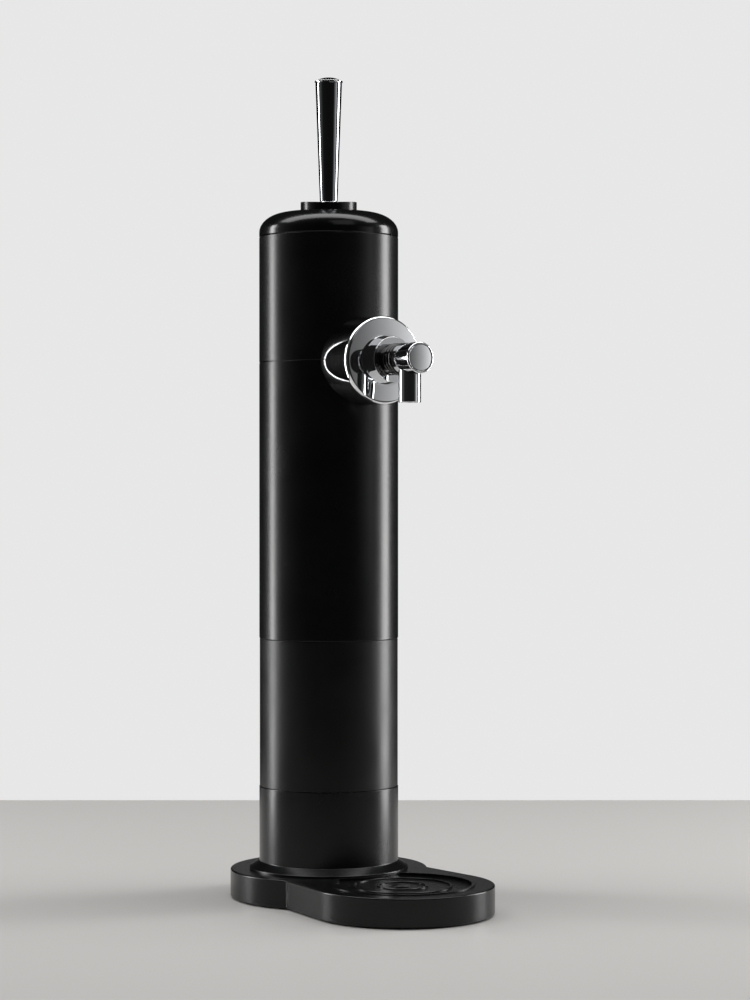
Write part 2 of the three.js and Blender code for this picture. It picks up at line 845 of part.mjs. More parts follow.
// Chrome shield of the tap: a shallow cup with a domed face, cut at the back to lie on the round tower
function escutcheon() {
  const edge = escutcheonRadius - escutcheonRound;
  const domeFoot = escutcheonRim + escutcheonLip;
  const outside = [];
  for (let i = 0; i < escutcheonRoundSteps; i += 1) {
    const angle = (Math.PI * i) / (2 * escutcheonRoundSteps);
    outside.push([edge + escutcheonRound * Math.cos(angle), escutcheonRim + escutcheonLip * Math.sin(angle)]);
  }
  for (let i = 0; i <= domeSteps; i += 1) {
    const radius = edge + ((domeFlatRadius - edge) * i) / domeSteps;
    const climbed = (edge ** 2 - radius ** 2) / (edge ** 2 - domeFlatRadius ** 2);
    outside.push([radius, domeFoot + domeHeight * climbed]);
  }
  const inner = escutcheonRadius - escutcheonWall;
  const start = towerRadius / 2;
  const cup = turned(
    [
      [inner, start],
      [escutcheonRadius, start],
      ...outside,
      [neckBore, shieldFace],
      [neckBore, shieldFace - escutcheonWall],
      [domeFlatRadius, shieldFace - escutcheonWall],
      [inner, domeFoot - escutcheonWall],
      [inner, start],
    ],
    plateSides,
  );
  const saddle = towerRadius + faceGap;
  const tower = new THREE.CylinderGeometry(saddle, saddle, escutcheonRadius * 4, towerSides);
  return cut(cup, solidOf(tower));
}

function tapCollar() {
  const back = shieldFace + closeGap;
  const front = back + collarLength - closeGap;
  return turned(
    [
      [neckBore, back],
      [collarRadius, back],
      [collarFrontRadius, front - collarBevel],
      [collarFrontRadius - collarBevel, front],
      [neckBore, front],
      [neckBore, back],
    ],
    midSides,
  );
}

// Black sleeve between collar and knob, with raised rings
function tapNeck() {
  const back = shieldFace + collarLength + closeGap;
  const pitch = neckLength / (neckRibs + 1);
  const half = pitch / 4;
  const profile = [[neckBore, back], [neckRadius, back]];
  for (let i = 1; i <= neckRibs; i += 1) {
    const middle = back + i * pitch;
    profile.push([neckRadius, middle - half], [neckRibRadius, middle - half / 2]);
    profile.push([neckRibRadius, middle + half / 2], [neckRadius, middle + half]);
  }
  const front = back + neckLength;
  return turned([...profile, [neckRadius, front], [neckBore, front], [neckBore, back]], midSides);
}

function tapStem() {
  const back = stemStart - barbLength;
  const front = knobBack + stemSeat - closeGap;
  return turned(
    [
      [stemBore, back],
      [barbRadius, back],
      [barbRadius, stemStart],
      [stemRadius, stemStart],
      [stemRadius, front],
      [stemBore, front],
      [stemBore, back],
    ],
    smallSides,
  );
}

function tapNut() {
  const front = nutPadReach - faceGap;
  return cut(
    disc(tapNutRadius, front - tapNutThickness, front, hexSides),
    disc(stemRadius + stemFit, front - overrun, front + overrun, smallSides),
  );
}

// Knob at the tap's end: beer chamber at the back, dry bay for the foamer behind its front cap
function tapBody() {
  const front = knobFront;
  const bay = beerChamberEnd + membrane;
  const solid = turned(
    [
      [0, knobBack],
      [knobRadius - knobBevel, knobBack],
      [knobRadius, knobBack + knobBevel],
      [knobRadius, front - knobBevel],
      [knobRadius - knobBevel, front],
      [0, front],
    ],
    midSides,
  );
  const capSeat = front - knobCapRecess - knobCapThickness - closeGap;
  const wireHole = disc(wireHoleRadius, knobBack - overrun, bay + membrane, fineSides, 0, wireOffset);
  const spoutHole = barY(spoutNippleRadius + stemFit, -knobRadius - overrun, 0, 0, spoutReach, smallSides);
  return cut(
    solid,
    disc(stemRadius + stemFit, knobBack - overrun, knobBack + stemSeat, smallSides),
    disc(beerChamberRadius, knobBack, beerChamberEnd, smallSides),
    disc(foamerBayRadius, bay, front + overrun, midSides),
    disc(knobCapRadius + faceGap, capSeat, front + overrun, midSides),
    wireHole,
    spoutHole,
  );
}

function tapCap() {
  const front = knobFront - knobCapRecess;
  return disc(knobCapRadius, front - knobCapThickness, front, midSides);
}

function piezoDisc() {
  const back = beerChamberEnd + membrane + closeGap;
  return disc(foamerRadius, back, back + foamerThickness, smallSides);
}

// Spout tube, saddled under the knob, with a nipple that goes up into it. Its axis is the Z axis here.
function spout() {
  const knobUnderside = tapHeight - knobRadius;
  const saddle = knobRadius + faceGap;
  const tube = turned(
    [
      [0, spoutBottom],
      [spoutRadius - spoutBevel, spoutBottom],
      [spoutRadius, spoutBottom + spoutBevel],
      [spoutRadius, tapHeight],
      [0, tapHeight],
    ],
    midSides,
  );
  const nipple = disc(spoutNippleRadius, spoutBottom + overrun, knobUnderside + spoutNippleRise, smallSides);
  const bore = disc(spoutBore, spoutBottom - overrun, tapHeight + overrun, smallSides);
  return cut(union(cut(tube, barY(saddle, -knobFront, knobFront, 0, tapHeight, plateSides)), nipple), bore);
}

function dipTube() {
  const top = partitionHeight + dipTubeRise;
  return ring(dipTubeRadius, dipTubeBore, dipTubeBottom - headSeam, top, smallSides);
}

// Short elbow from the dip tube's top to the barb of the tap's stem
function beerHose() {
  const low = partitionHeight + dipBossRise + faceGap;
  const bend = -tapDrop - low - dipTubeRise + dipBossRise + faceGap;
  const inner = dipTubeRadius + hoseFit;
  const route = [[0, 0, low], [0, 0, low + dipTubeRise / 2]];
  for (let i = 0; i <= elbowSteps; i += 1) {
    const angle = (Math.PI * i) / (2 * elbowSteps);
    route.push([0, bend * (Math.cos(angle) - 1), -tapDrop - bend + bend * Math.sin(angle)]);
  }
  route.push([0, -(bend + stemStart) / 2, -tapDrop], [0, faceGap - stemStart, -tapDrop]);
  return alongRoute(route, roundSection(inner + beerHoseWall, inner), hoseSteps, smallSides);
}

function airHose() {
  const inner = airNippleRadius + airHoseFit;
  const low = partitionHeight + faceGap;
  const start = pumpHeadBottom + pumpHeadHeight + faceGap;
  const bend = airHoseLoop - start - pumpNozzleRise;
  const bendShares = [0.15, 0.85]; // along the way across, where the hose has risen most of the bend
  const crossing = bendShares.map((share) => [
    pumpX + (airNippleX - pumpX) * share,
    pumpY + (airNippleY - pumpY) * share,
    airHoseLoop - bend / 4,
  ]);
  const route = [
    [pumpX, pumpY, start],
    [pumpX, pumpY, start + pumpNozzleRise],
    crossing[0],
    [(pumpX + airNippleX) / 2, (pumpY + airNippleY) / 2, airHoseLoop],
    crossing[1],
    [airNippleX, airNippleY, start],
    [airNippleX, airNippleY, (start + low) / 2],
    [airNippleX, airNippleY, low + airNippleRise],
    [airNippleX, airNippleY, low],
  ];
  return alongRoute(route, roundSection(inner + airHoseWall, inner), longHoseSteps, fineSides);
}

function pumpMotor() {
  const top = partitionHeight + motorHeight;
  const end = top - pumpShaftDepth - closeGap;
  const can = disc(motorRadius, partitionHeight, top, midSides, pumpX, pumpY);
  return cut(can, disc(pumpShaftRadius + pumpShaftFit, end, top + overrun, fineSides, pumpX, pumpY));
}

function pumpHead() {
  const top = pumpHeadBottom + pumpHeadHeight;
  const inner = pumpHeadRadius - pumpHeadWall;
  return turned(
    [
      [inner, pumpHeadBottom],
      [pumpHeadRadius, pumpHeadBottom],
      [pumpHeadRadius, top],
      [airNippleRadius, top],
      [airNippleRadius, top + pumpNozzleRise],
      [airNippleBore, top + pumpNozzleRise],
      [airNippleBore, top - pumpHeadWall],
      [inner, top - pumpHeadWall],
      [inner, pumpHeadBottom],
    ],
    midSides,
    pumpX,
    pumpY,
  );
}

// Motor shaft with the crank disc that works the diaphragms, about its own axis
function pumpShaft() {
  const motorTop = partitionHeight + motorHeight;
  const crankLow = motorTop + crankRise;
  return union(
    disc(pumpShaftRadius, motorTop - pumpShaftDepth, crankLow + crankHeight / 2, fineSides),
    disc(crankRadius, crankLow, crankLow + crankHeight, smallSides, crankThrow, 0),
  );
}

function batteryBox() {
  const tray = block([-bayHalfWidth, bayHalfWidth], [bayFront, bayBack], [bayBottom, bayTop]);
  const inside = bayHalfWidth - bayWall;
  const roomHeight = [bayBottom + bayWall, bayTop - bayWall];
  const room = block([-inside, inside], [bayFront + bayWall, bayBack + overrun], roomHeight);
  const reach = bayHalfWidth + bayEarLength;
  const ears = block([-reach, reach], [bayEarFront, bayEarBack], [deckTop, deckTop + bayEarThickness]);
  return cut(union(tray, ears), room);
}

function batteryCell() {
  const low = bayBottom + bayWall;
  const shoulder = low + cellHeight - cellTipHeight;
  return turned(
    [
      [0, low],
      [cellRadius, low],
      [cellRadius, shoulder],
      [cellTipRadius, shoulder],
      [cellTipRadius, low + cellHeight],
      [0, low + cellHeight],
    ],
    midSides,
  );
}

function cellPlaces() {
  const y = bayFront + bayWall + faceGap + cellRadius;
  return Array.from({ length: cells }, (_, i) => [(i - (cells - 1) / 2) * cellPitch, y]);
}

// Sheet-metal strip with a sprung button over each cell
function batteryContacts() {
  const high = bayTop - bayWall;
  const low = high - contactThickness;
  const cellTop = bayBottom + bayWall + cellHeight;
  const [, y] = cellPlaces()[0];
  const depth = [y - contactTipRadius, y + contactTipRadius];
  const strip = block([-contactHalfWidth, contactHalfWidth], depth, [low, high]);
  const buttons = cellPlaces().map(([x]) => disc(contactTipRadius, cellTop, high, fineSides, x, y));
  return union(strip, ...buttons);
}

function circuitBoard() {
  const top = deckHeight - boardDrop;
  const low = top - boardThickness;
  const middleX = (boardLeft + boardRight) / 2;
  const middleY = (boardBack - boardFrontReach) / 2;
  const chip = [middleX - chipSize / 2, middleX + chipSize / 2];
  const joined = low + boardThickness / 2;
  const socketBack = boardBack - boardPegInset;
  const socketDepth = [socketBack - socketLength, socketBack];
  return union(
    block([boardLeft, boardRight], [-boardFrontReach, boardBack], [low, top]),
    block(chip, [middleY - chipSize / 2, middleY + chipSize / 2], [low - chipHeight, joined]),
    disc(capacitorRadius, low - capacitorHeight, joined, fineSides, middleX, chipSize - boardFrontReach),
    block([boardLeft, boardLeft + socketHeight], socketDepth, [low - socketHeight, joined]),
  );
}

function springSwitch(y) {
  const top = deckTop + switchHeight;
  const depth = [y - switchHalfDepth, y + switchHalfDepth];
  const body = block([-switchHalfWidth, switchHalfWidth], depth, [deckTop, top]);
  const holeFoot = top - plungerInsert - plungerTravel - closeGap;
  return cut(body, disc(plungerStem + faceGap, holeFoot, top + overrun, fineSides, 0, y));
}

// Plunger with a domed top, about its own axis
function plunger() {
  const centre = armUnderside - plungerRoom - plungerDome;
  const flangeLow = centre - plungerFlangeHeight;
  const foot = deckTop + switchHeight - plungerInsert;
  const profile = [
    [0, foot],
    [plungerStem, foot],
    [plungerStem, flangeLow],
    [plungerFlange, flangeLow],
    [plungerFlange, centre],
  ];
  for (let i = 0; i < plungerDomeSteps; i += 1) {
    const angle = (Math.PI * i) / (2 * plungerDomeSteps);
    profile.push([plungerDome * Math.cos(angle), centre + plungerDome * Math.sin(angle)]);
  }
  return turned([...profile, [0, centre + plungerDome]], smallSides);
}

// Centre line of a coil spring, wound about the Z axis
class Helix extends THREE.Curve {
  constructor(low, high) {
    super();
    this.low = low;
    this.high = high;
  }

  getPoint(share, target = new THREE.Vector3()) {
    const angle = share * springTurns * Math.PI * 2;
    const height = this.low + (this.high - this.low) * share;
    return target.set(springRadius * Math.cos(angle), springRadius * Math.sin(angle), height);
  }
}

// The least gap between one turn's wire and another's, measured on points of the centre line
function leastGap(curve, turns, wire) {
  const pointsPerTurn = springSteps * 4;
  const points = curve.getPoints(turns * pointsPerTurn);
  let least = Infinity;
  points.forEach((point, i) => {
    points.slice(i + pointsPerTurn / 2).forEach((other) => {
      least = Math.min(least, point.distanceTo(other) - wire * 2);
    });
  });
  return least;
}

function coilSpring() {
  const low = deckTop + switchHeight + springWire + closeGap;
  const high = armUnderside - plungerRoom - plungerDome - plungerFlangeHeight - springWire - closeGap;
  const helix = new Helix(low, high);
  console.log(`spring: least gap between turns ${leastGap(helix, springTurns, springWire).toFixed(2)} mm`);
  const section = [];
  for (let i = 0; i < springOutlineSides; i += 1) {
    const angle = (Math.PI * 2 * i) / springOutlineSides;
    section.push(new THREE.Vector2(springWire * Math.cos(angle), springWire * Math.sin(angle)));
  }
  const steps = springTurns * springSteps;
  return solidOf(new THREE.ExtrudeGeometry(new THREE.Shape(section), { extrudePath: helix, steps }));
}

// Rocking foot of the lever with its upright rod, about the pivot
function leverRod() {
  const armHeight = [-hubRadius, armThickness - hubRadius];
  const rocker = union(
    barX(hubRadius, -hubHalfWidth, hubHalfWidth, 0, 0, midSides),
    block([-armHalfWidth, armHalfWidth], [-armHalfLength, armHalfLength], armHeight),
    disc(leverRodRadius, 0, leverRodHeight, smallSides),
  );
  return cut(rocker, barX(pinRadius + pinFit, -towerRadius, towerRadius, 0, 0, smallSides));
}

function pivotPin() {
  const half = hubHalfWidth + cheekGap + cheekThickness + faceGap;
  return barX(pinRadius, -half, half, 0, pivotHeight, smallSides);
}

// Ring at the foot of the handle, with a narrower neck that the handle stands on
function handleFerrule() {
  const bore = leverRodRadius + handleFit;
  const neck = ferruleRadius - handleGroove - handleGroove;
  const shoulder = ferruleRise + ferruleHeight;
  return turned(
    [[bore, ferruleRise], [ferruleRadius, ferruleRise], [ferruleRadius, shoulder], [neck, shoulder],
      [neck, handleFoot], [bore, handleFoot], [bore, ferruleRise]],
    midSides,
  );
}

function handle() {
  const high = handleFoot + handleLength;
  const barrel = turned(
    [
      [0, handleFoot],
      [handleFootRadius, handleFoot],
      [handleTopRadius, high - handleBevel],
      [handleTopRadius - handleBevel, high],
      [0, high],
    ],
    midSides,
  );
  return cut(
    barrel,
    disc(leverRodRadius + handleFit, handleFoot - overrun, leverRodHeight, smallSides),
    disc(handleCapSpigot + handleFit, high - handleCapSpigotLength - handleFit, high + overrun, smallSides),
  );
}

function handleCap() {
  const low = handleFoot + handleLength;
  const neck = handleTopRadius - handleBevel;
  const foot = low + handleCapGroove;
  const dome = [];
  for (let i = 0; i <= handleCapDomeSteps; i += 1) {
    const radius = (handleCapRadius * (handleCapDomeSteps - i)) / handleCapDomeSteps;
    const climbed = 1 - (radius / handleCapRadius) ** 2;
    dome.push([radius, foot + handleCapBrim + handleCapDome * climbed]);
  }
  return turned(
    [
      [0, low - handleCapSpigotLength],
      [handleCapSpigot, low - handleCapSpigotLength],
      [handleCapSpigot, low],
      [neck, low],
      [neck, foot],
      [handleCapRadius, foot],
      ...dome,
    ],
    midSides,
  );
}

// Twin lead from the motor up to the circuit board
function pumpWires() {
  const half = pumpWireWidth / 2;
  const thin = pumpWireThickness / 2;
  const flat = new THREE.Shape([
    new THREE.Vector2(-thin, -half),
    new THREE.Vector2(thin, -half),
    new THREE.Vector2(thin, half),
    new THREE.Vector2(-thin, half),
  ]);
  const boardLow = deckHeight - boardDrop - boardThickness;
  const motorTop = partitionHeight + motorHeight;
  const boardEnd = boardPegInset + boardPegInset - boardFrontReach;
  const route = [
    [pumpX + motorRadius + half + closeGap, pumpY, partitionHeight + motorHeight / 2],
    [pumpX + pumpHeadRadius + pumpWireWidth, pumpY, motorTop - crankRise],
    [pumpX + pumpHeadRadius + motorCollarHeight, pumpY, motorTop + crankRise],
    [boardLeft - motorCollarHeight, boardEnd, (motorTop + boardLow) / 2],
    [boardLeft + boardPegInset, boardEnd, boardLow - pumpWireWidth * 2],
    [boardLeft + boardPegInset, boardEnd, boardLow - faceGap],
  ];
  return alongRoute(route, flat, hoseSteps, wireSides);
}

// Lead from the circuit board, through the wall and along the tap's stem to the foamer
function piezoWires() {
  const boardLow = deckHeight - boardDrop - boardThickness;
  const rise = wireOffset - tapDrop;
  const straight = boardPegInset; // level stretch before the wall
  const route = [
    [boardLeft + boardPegInset, boardPegInset - boardFrontReach, boardLow - faceGap],
    [boardLeft + boardPegInset, boardPegInset - boardFrontReach, boardLow - boardPegInset],
    [boardLeft + boardPegInset, -boardPegInset - boardFrontReach, boardLow / 2],
    [wireHoleX, -nutPadReach + tapNutThickness, chassisRise],
    [wireHoleX, -nutPadReach + straight, wireHoleRise],
    [wireHoleX, -nutPadReach, wireHoleRise],
    [wireHoleX, -towerRadius - piezoWireRadius, wireHoleRise],
    [wireHoleX / 2, (-towerRadius - escutcheonRim) / 2, (wireHoleRise + rise) / 2],
    [0, -escutcheonRim, rise],
    [0, -knobBack, rise],
    [0, -beerChamberEnd - membrane - closeGap, rise],
  ];
  return alongRoute(route, roundSection(piezoWireRadius), longHoseSteps, wireSides);
}

// Assembly
const group = new THREE.Group();

function addBase() {
  const base = new THREE.Group();
  const besideTower = disc(towerPadRadius + faceGap, -overrun, padHeight + overrun, plateSides);
  const standPad = cut(disc(standPadRadius, 0, padHeight, plateSides, 0, -standReach), besideTower);
  addPiece(base, "tower_pad", disc(towerPadRadius, 0, padHeight, plateSides), blackRubber);
  addPiece(base, "stand_pad", standPad, blackRubber);
  addPiece(base, "base_cover", baseCover(), innerPlastic);
  addPiece(base, "base_shell", baseShell(), satinBlack);
  const weightTop = coverTop + weightHeight;
  addPiece(base, "base_weight", ring(weightRadius, weightHole, coverTop, weightTop, plateSides), castIron);
  const nut = ring(nutRadius, stubRadius + closeGap, -nutHeight, 0, midSides);
  addPiece(base, "tower_nut", nut, innerPlastic).position.z = baseTop - baseCeiling;
  coverScrewPlaces().forEach(([x, y], i) => {
    const fastener = addPiece(base, `cover_screw_${i + 1}`, screw(), steel);
    fastener.rotation.x = Math.PI;
    fastener.position.set(x, y, padHeight);
  });
  addPiece(base, "drip_tray", dripTray(), matteBlack);
  group.add(base);
}

function addTower() {
  const tower = new THREE.Group();
  addPiece(tower, "lower_tower", lowerTower(), satinBlack);
  addPiece(tower, "middle_tower", towerTube(lowSeam, highSeam, middleRadius), matteBlack);
  addPiece(tower, "upper_tower", upperTower(), satinBlack);
  addPiece(tower, "lower_seal", sealRing(lowSeam - spigotDepth + sealGrooveRise), blackRubber);
  addPiece(tower, "upper_seal", sealRing(highSeam - spigotDepth + sealGrooveRise), blackRubber);
  addPiece(tower, "bottle_seat", bottleSeat(), blackRubber);
  group.add(tower);
}

function addPump(head) {
  addPiece(head, "pump_motor", pumpMotor(), steel);
  addPiece(head, "pump_head", pumpHead(), whitePlastic);
  addPiece(head, "pump_shaft", pumpShaft(), brass).position.set(pumpX, pumpY, 0);
  addPiece(head, "air_hose", airHose(), clearHose);
  addPiece(head, "pump_wires", pumpWires(), glossBlack);
}

function addBatteries(head) {
  addPiece(head, "battery_box", batteryBox(), innerPlastic);
  cellPlaces().forEach(([x, y], i) => {
    addPiece(head, `battery_cell_${i + 1}`, batteryCell(), cellSleeve).position.set(x, y, 0);
  });
  addPiece(head, "battery_contacts", batteryContacts(), steel);
  addPiece(head, "battery_door", batteryDoor(), satinBlack);
}

function addLever(head) {
  addPiece(head, "pivot_pin", pivotPin(), steel);
  for (const [use, y] of [["pour", -plungerReach], ["foam", plungerReach]]) {
    addPiece(head, `${use}_switch`, springSwitch(y), glossBlack);
    addPiece(head, `${use}_plunger`, plunger(), whitePlastic).position.y = y;
    addPiece(head, `${use}_spring`, coilSpring(), steel).position.y = y;
  }
  const lever = new THREE.Group();
  lever.position.z = pivotHeight;
  addPiece(lever, "lever_rod", leverRod(), steel);
  addPiece(lever, "handle_ferrule", handleFerrule(), chrome);
  addPiece(lever, "handle", handle(), chrome);
  addPiece(lever, "handle_cap", handleCap(), chrome);
  head.add(lever);
}

function addTap() {
  const tap = new THREE.Group();
  tap.position.z = tapHeight;
  tap.rotation.x = Math.PI / 2;
  addPiece(tap, "escutcheon", escutcheon(), chrome);
  addPiece(tap, "tap_collar", tapCollar(), chrome);
  addPiece(tap, "tap_neck", tapNeck(), matteBlack);
  addPiece(tap, "tap_stem", tapStem(), steel);
  addPiece(tap, "tap_nut", tapNut(), brass);
  addPiece(tap, "tap_body", tapBody(), chrome);
  addPiece(tap, "tap_cap", tapCap(), chrome);
  addPiece(tap, "piezo_disc", piezoDisc(), ceramicWhite);
  group.add(tap);
  addPiece(group, "spout", spout(), chrome).position.y = -spoutReach;
}

function addHead() {
  const head = new THREE.Group();
  head.position.z = headSeam;
  addPiece(head, "head_chassis", headChassis(), innerPlastic);
  addPiece(head, "head_seal", sealRing(sealGrooveRise - chassisDrop), blackRubber);
  addPiece(head, "head_shell", headShell(), satinBlack);
  addPiece(head, "mechanism_deck", mechanismDeck(), innerPlastic);
  postPlaces().forEach(([x, y], i) => {
    addPiece(head, `deck_screw_${i + 1}`, screw(), steel).position.set(x, y, deckTop + screwHeadHeight);
  });
  addPiece(head, "top_cap", topCap(), satinBlack);
  addPiece(head, "lever_ring", leverRing(), glossBlack);
  addPiece(head, "dip_tube", dipTube(), steel);
  addPiece(head, "beer_hose", beerHose(), clearHose);
  addPiece(head, "circuit_board", circuitBoard(), boardGreen);
  addPiece(head, "piezo_wires", piezoWires(), glossBlack);
  addPump(head);
  addBatteries(head);
  addLever(head);
  group.add(head);
}

addBase();
addTower();
addTap();
addHead();

export default group;
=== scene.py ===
import math
from types import SimpleNamespace  # a maker reads its values as size.radius
import bpy
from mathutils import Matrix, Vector


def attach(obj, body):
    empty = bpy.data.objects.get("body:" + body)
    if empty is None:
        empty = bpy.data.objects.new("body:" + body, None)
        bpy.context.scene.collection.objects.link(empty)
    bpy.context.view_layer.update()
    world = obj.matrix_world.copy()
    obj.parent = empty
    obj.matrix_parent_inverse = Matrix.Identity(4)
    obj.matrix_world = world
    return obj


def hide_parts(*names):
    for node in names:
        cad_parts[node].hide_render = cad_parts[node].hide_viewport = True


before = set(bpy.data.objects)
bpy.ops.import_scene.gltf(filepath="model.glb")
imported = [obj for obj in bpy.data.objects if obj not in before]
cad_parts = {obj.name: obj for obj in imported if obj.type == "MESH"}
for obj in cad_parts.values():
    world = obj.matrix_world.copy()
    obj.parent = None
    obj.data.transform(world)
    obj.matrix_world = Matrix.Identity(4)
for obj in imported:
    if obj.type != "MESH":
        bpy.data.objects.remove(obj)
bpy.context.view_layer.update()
print("frame loaded")

mm = 0.001  # pieces are sized in millimetres, the camera and the studio in metres
quarterTurn = math.pi / 2


# Selecting and finishing

def deselectAll():
    for item in list(bpy.context.selected_objects):
        item.select_set(False)
    bpy.context.view_layer.objects.active = None


def pick(piece):
    deselectAll()
    piece.select_set(True)
    bpy.context.view_layer.objects.active = piece


def settle(piece):
    pick(piece)
    bpy.ops.object.transform_apply(location=True, rotation=True, scale=True)


def applyModifier(piece, modifier):
    pick(piece)
    bpy.ops.object.modifier_apply(modifier=modifier.name)


# A cutter reaches a few millimetres past each face that it is to open
def carve(piece, cutter, operation="DIFFERENCE"):
    modifier = piece.modifiers.new("cut", "BOOLEAN")
    modifier.operation = operation
    modifier.solver = "EXACT"
    modifier.object = cutter
    applyModifier(piece, modifier)
    bpy.data.objects.remove(cutter, do_unlink=True)
    return piece


def join(piece, added):
    carve(piece, added, "UNION")


def roundEdges(piece, width, segments, angle):
    modifier = piece.modifiers.new("edges", "BEVEL")
    modifier.limit_method = "ANGLE"
    modifier.angle_limit = math.radians(angle)
    modifier.width = width * mm
    modifier.segments = segments
    modifier.use_clamp_overlap = True
    applyModifier(piece, modifier)


def smoothFaces(piece, angle):
    pick(piece)
    bpy.ops.object.shade_smooth_by_angle(angle=math.radians(angle))
    modifier = piece.modifiers.new("weighted", "WEIGHTED_NORMAL")
    modifier.keep_sharp = True
    modifier.weight = 80
    applyModifier(piece, modifier)


def closeMesh(piece):
    pick(piece)
    bpy.ops.object.mode_set(mode="EDIT")
    bpy.ops.mesh.select_all(action="SELECT")
    bpy.ops.mesh.remove_doubles(threshold=0.002 * mm)
    bpy.ops.mesh.fill_holes(sides=0)
    bpy.ops.mesh.select_all(action="SELECT")
    bpy.ops.mesh.normals_make_consistent(inside=False)
    bpy.ops.object.mode_set(mode="OBJECT")


# A ring is added at the first point of the profile, then pulled and resized from point to point.
# An open profile is closed by flat ends, a closed one comes back to its first point.
def turnRound(name, profile, sides=128, closed=False, x=0, y=0):
    radius, height = profile[0]
    deselectAll()
    place = (x * mm, y * mm, height * mm)
    bpy.ops.mesh.primitive_circle_add(vertices=sides, radius=radius * mm, fill_type="NOTHING",
                                      location=place)
    piece = bpy.context.object
    piece.name = name
    settle(piece)
    bpy.ops.object.mode_set(mode="EDIT")
    bpy.ops.mesh.select_all(action="SELECT")
    steps = profile[1:] + (profile[:1] if closed else [])
    for nextRadius, nextHeight in steps:
        lift = (0, 0, (nextHeight - height) * mm)
        bpy.ops.mesh.extrude_edges_move(TRANSFORM_OT_translate={"value": lift})
        if nextRadius != radius:
            share = nextRadius / radius
            middle = (x * mm, y * mm, nextHeight * mm)
            bpy.ops.transform.resize(value=(share, share, 1), center_override=middle)
        radius, height = nextRadius, nextHeight
    bpy.ops.object.mode_set(mode="OBJECT")
    closeMesh(piece)
    return piece


def addBlock(name, left, right, front, back, low, high):
    deselectAll()
    middle = ((left + right) / 2 * mm, (front + back) / 2 * mm, (low + high) / 2 * mm)
    size = ((right - left) * mm, (back - front) * mm, (high - low) * mm)
    bpy.ops.mesh.primitive_cube_add(size=1, location=middle, scale=size)
    piece = bpy.context.object
    piece.name = name
    settle(piece)
    return piece


def addBar(name, radius, start, end, sides=64, turn=(0, 0, 0), place=(0, 0, 0)):
    deselectAll()
    bpy.ops.mesh.primitive_cylinder_add(vertices=sides, radius=radius * mm, depth=(end - start) * mm,
                                        location=(0, 0, (start + end) / 2 * mm))
    piece = bpy.context.object
    piece.name = name
    settle(piece)
    piece.rotation_euler = turn
    piece.location = [value * mm for value in place]
    settle(piece)
    return piece


# A bar that runs forwards, from start to end in front of the tower's axis
def addForwardBar(name, radius, start, end, sides, x, height):
    return addBar(name, radius, start, end, sides, (quarterTurn, 0, 0), (x, 0, height))


def arcPoints(middle, height, across, rise, first, last, steps):
    points = []
    for i in range(steps + 1):
        angle = math.radians(first + (last - first) * i / steps)
        points.append((middle + across * math.cos(angle), height + rise * math.sin(angle)))
    return points


# A dome between its rim and its middle, without the point at the rim
def domePoints(radius, height, rise, steps):
    points = []
    for i in range(1, steps):
        across = 1 - i / steps
        points.append((radius * across, height + rise * (1 - across ** 2)))
    return points


def giveFinish(piece, finishName):
    piece.data.materials.clear()
    piece.data.materials.append(finish[finishName])


def finishPiece(piece, finishName, slot, body, node, angle=38):
    smoothFaces(piece, angle)
    giveFinish(piece, finishName)
    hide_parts(node)
    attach(piece, body)


# The maker builds the piece from its values, and the rest is what finishPiece asks for
def buildPiece(maker, values, *finishing, **smoothing):
    finishPiece(maker(SimpleNamespace(**values)), *finishing, **smoothing)


# Camera and studio

cameraValues = {
    "place": (-1.001, -1.604, 0.30205),
    "heading": (0.5443, 0.8389),
    "pitch": 0.51,  # degrees down
    "lens": 94.45,
    "sensor": 36,
}


def addCamera(values):
    data = bpy.data.cameras.new("camera")
    camera = bpy.data.objects.new("camera", data)
    bpy.context.scene.collection.objects.link(camera)
    camera.location = values["place"]
    pitch = math.radians(values["pitch"])
    aheadX, aheadY = values["heading"]
    ahead = Vector((aheadX * math.cos(pitch), aheadY * math.cos(pitch), -math.sin(pitch)))
    camera.rotation_euler = ahead.to_track_quat("-Z", "Y").to_euler()
    data.sensor_fit = "VERTICAL"
    data.sensor_height = values["sensor"]
    data.lens = values["lens"]
    data.clip_end = 60
    bpy.context.scene.camera = camera


studioValues = {
    "floorWidth": 1.1,
    "floorFront": 0.56,
    "floorBack": 0.557,  # the table's far edge behind the tower
    "floorColour": (0.46, 0.45, 0.437, 1),
    "floorRoughness": 0.45,
    "floorDrop": 0.1,  # millimetres under the pads
    "ambient": 0.30,
    "backdrop": 0.80,
    # what shiny surfaces see, from straight behind the part (0) to behind the camera (1)
    "surround": ((0.0, 0.80), (0.004, 0.06), (0.03, 0.008), (0.32, 0.004), (0.42, 0.22), (0.60, 0.11),
                 (0.78, 0.015), (1.0, 0.01)),
    "lamps": {
        # angle from the camera round the tower, distance, height, width, tall, power
        "leftStrip": (-104.5, 1.30, 0.36, 0.25, 1.30, 14),
        "rightSoftbox": (106.5, 1.30, 0.36, 0.39, 1.30, 19.5),
        "frontCard": (64, 1.30, 0.47, 0.62, 0.54, 1.0),
        "topStrip": (180, 0.06, 1.65, 3.00, 0.62, 30),
        "highFill": (27, 1.20, 1.45, 0.90, 0.90, 1.5),
    },
    "aimHeight": 0.3,
    "uprightBelow": 1,  # lamps lower than this stand upright
    "gradedCard": "frontCard",
    "cardDimSide": 0.11,
    "cardCurve": 2,
}


def roundTheTower(angle, distance):
    towards = Vector((cameraValues["place"][0], cameraValues["place"][1], 0)).normalized()
    right = Vector((cameraValues["heading"][1], -cameraValues["heading"][0], 0))
    turn = math.radians(angle)
    return (towards * math.cos(turn) + right * math.sin(turn)) * distance


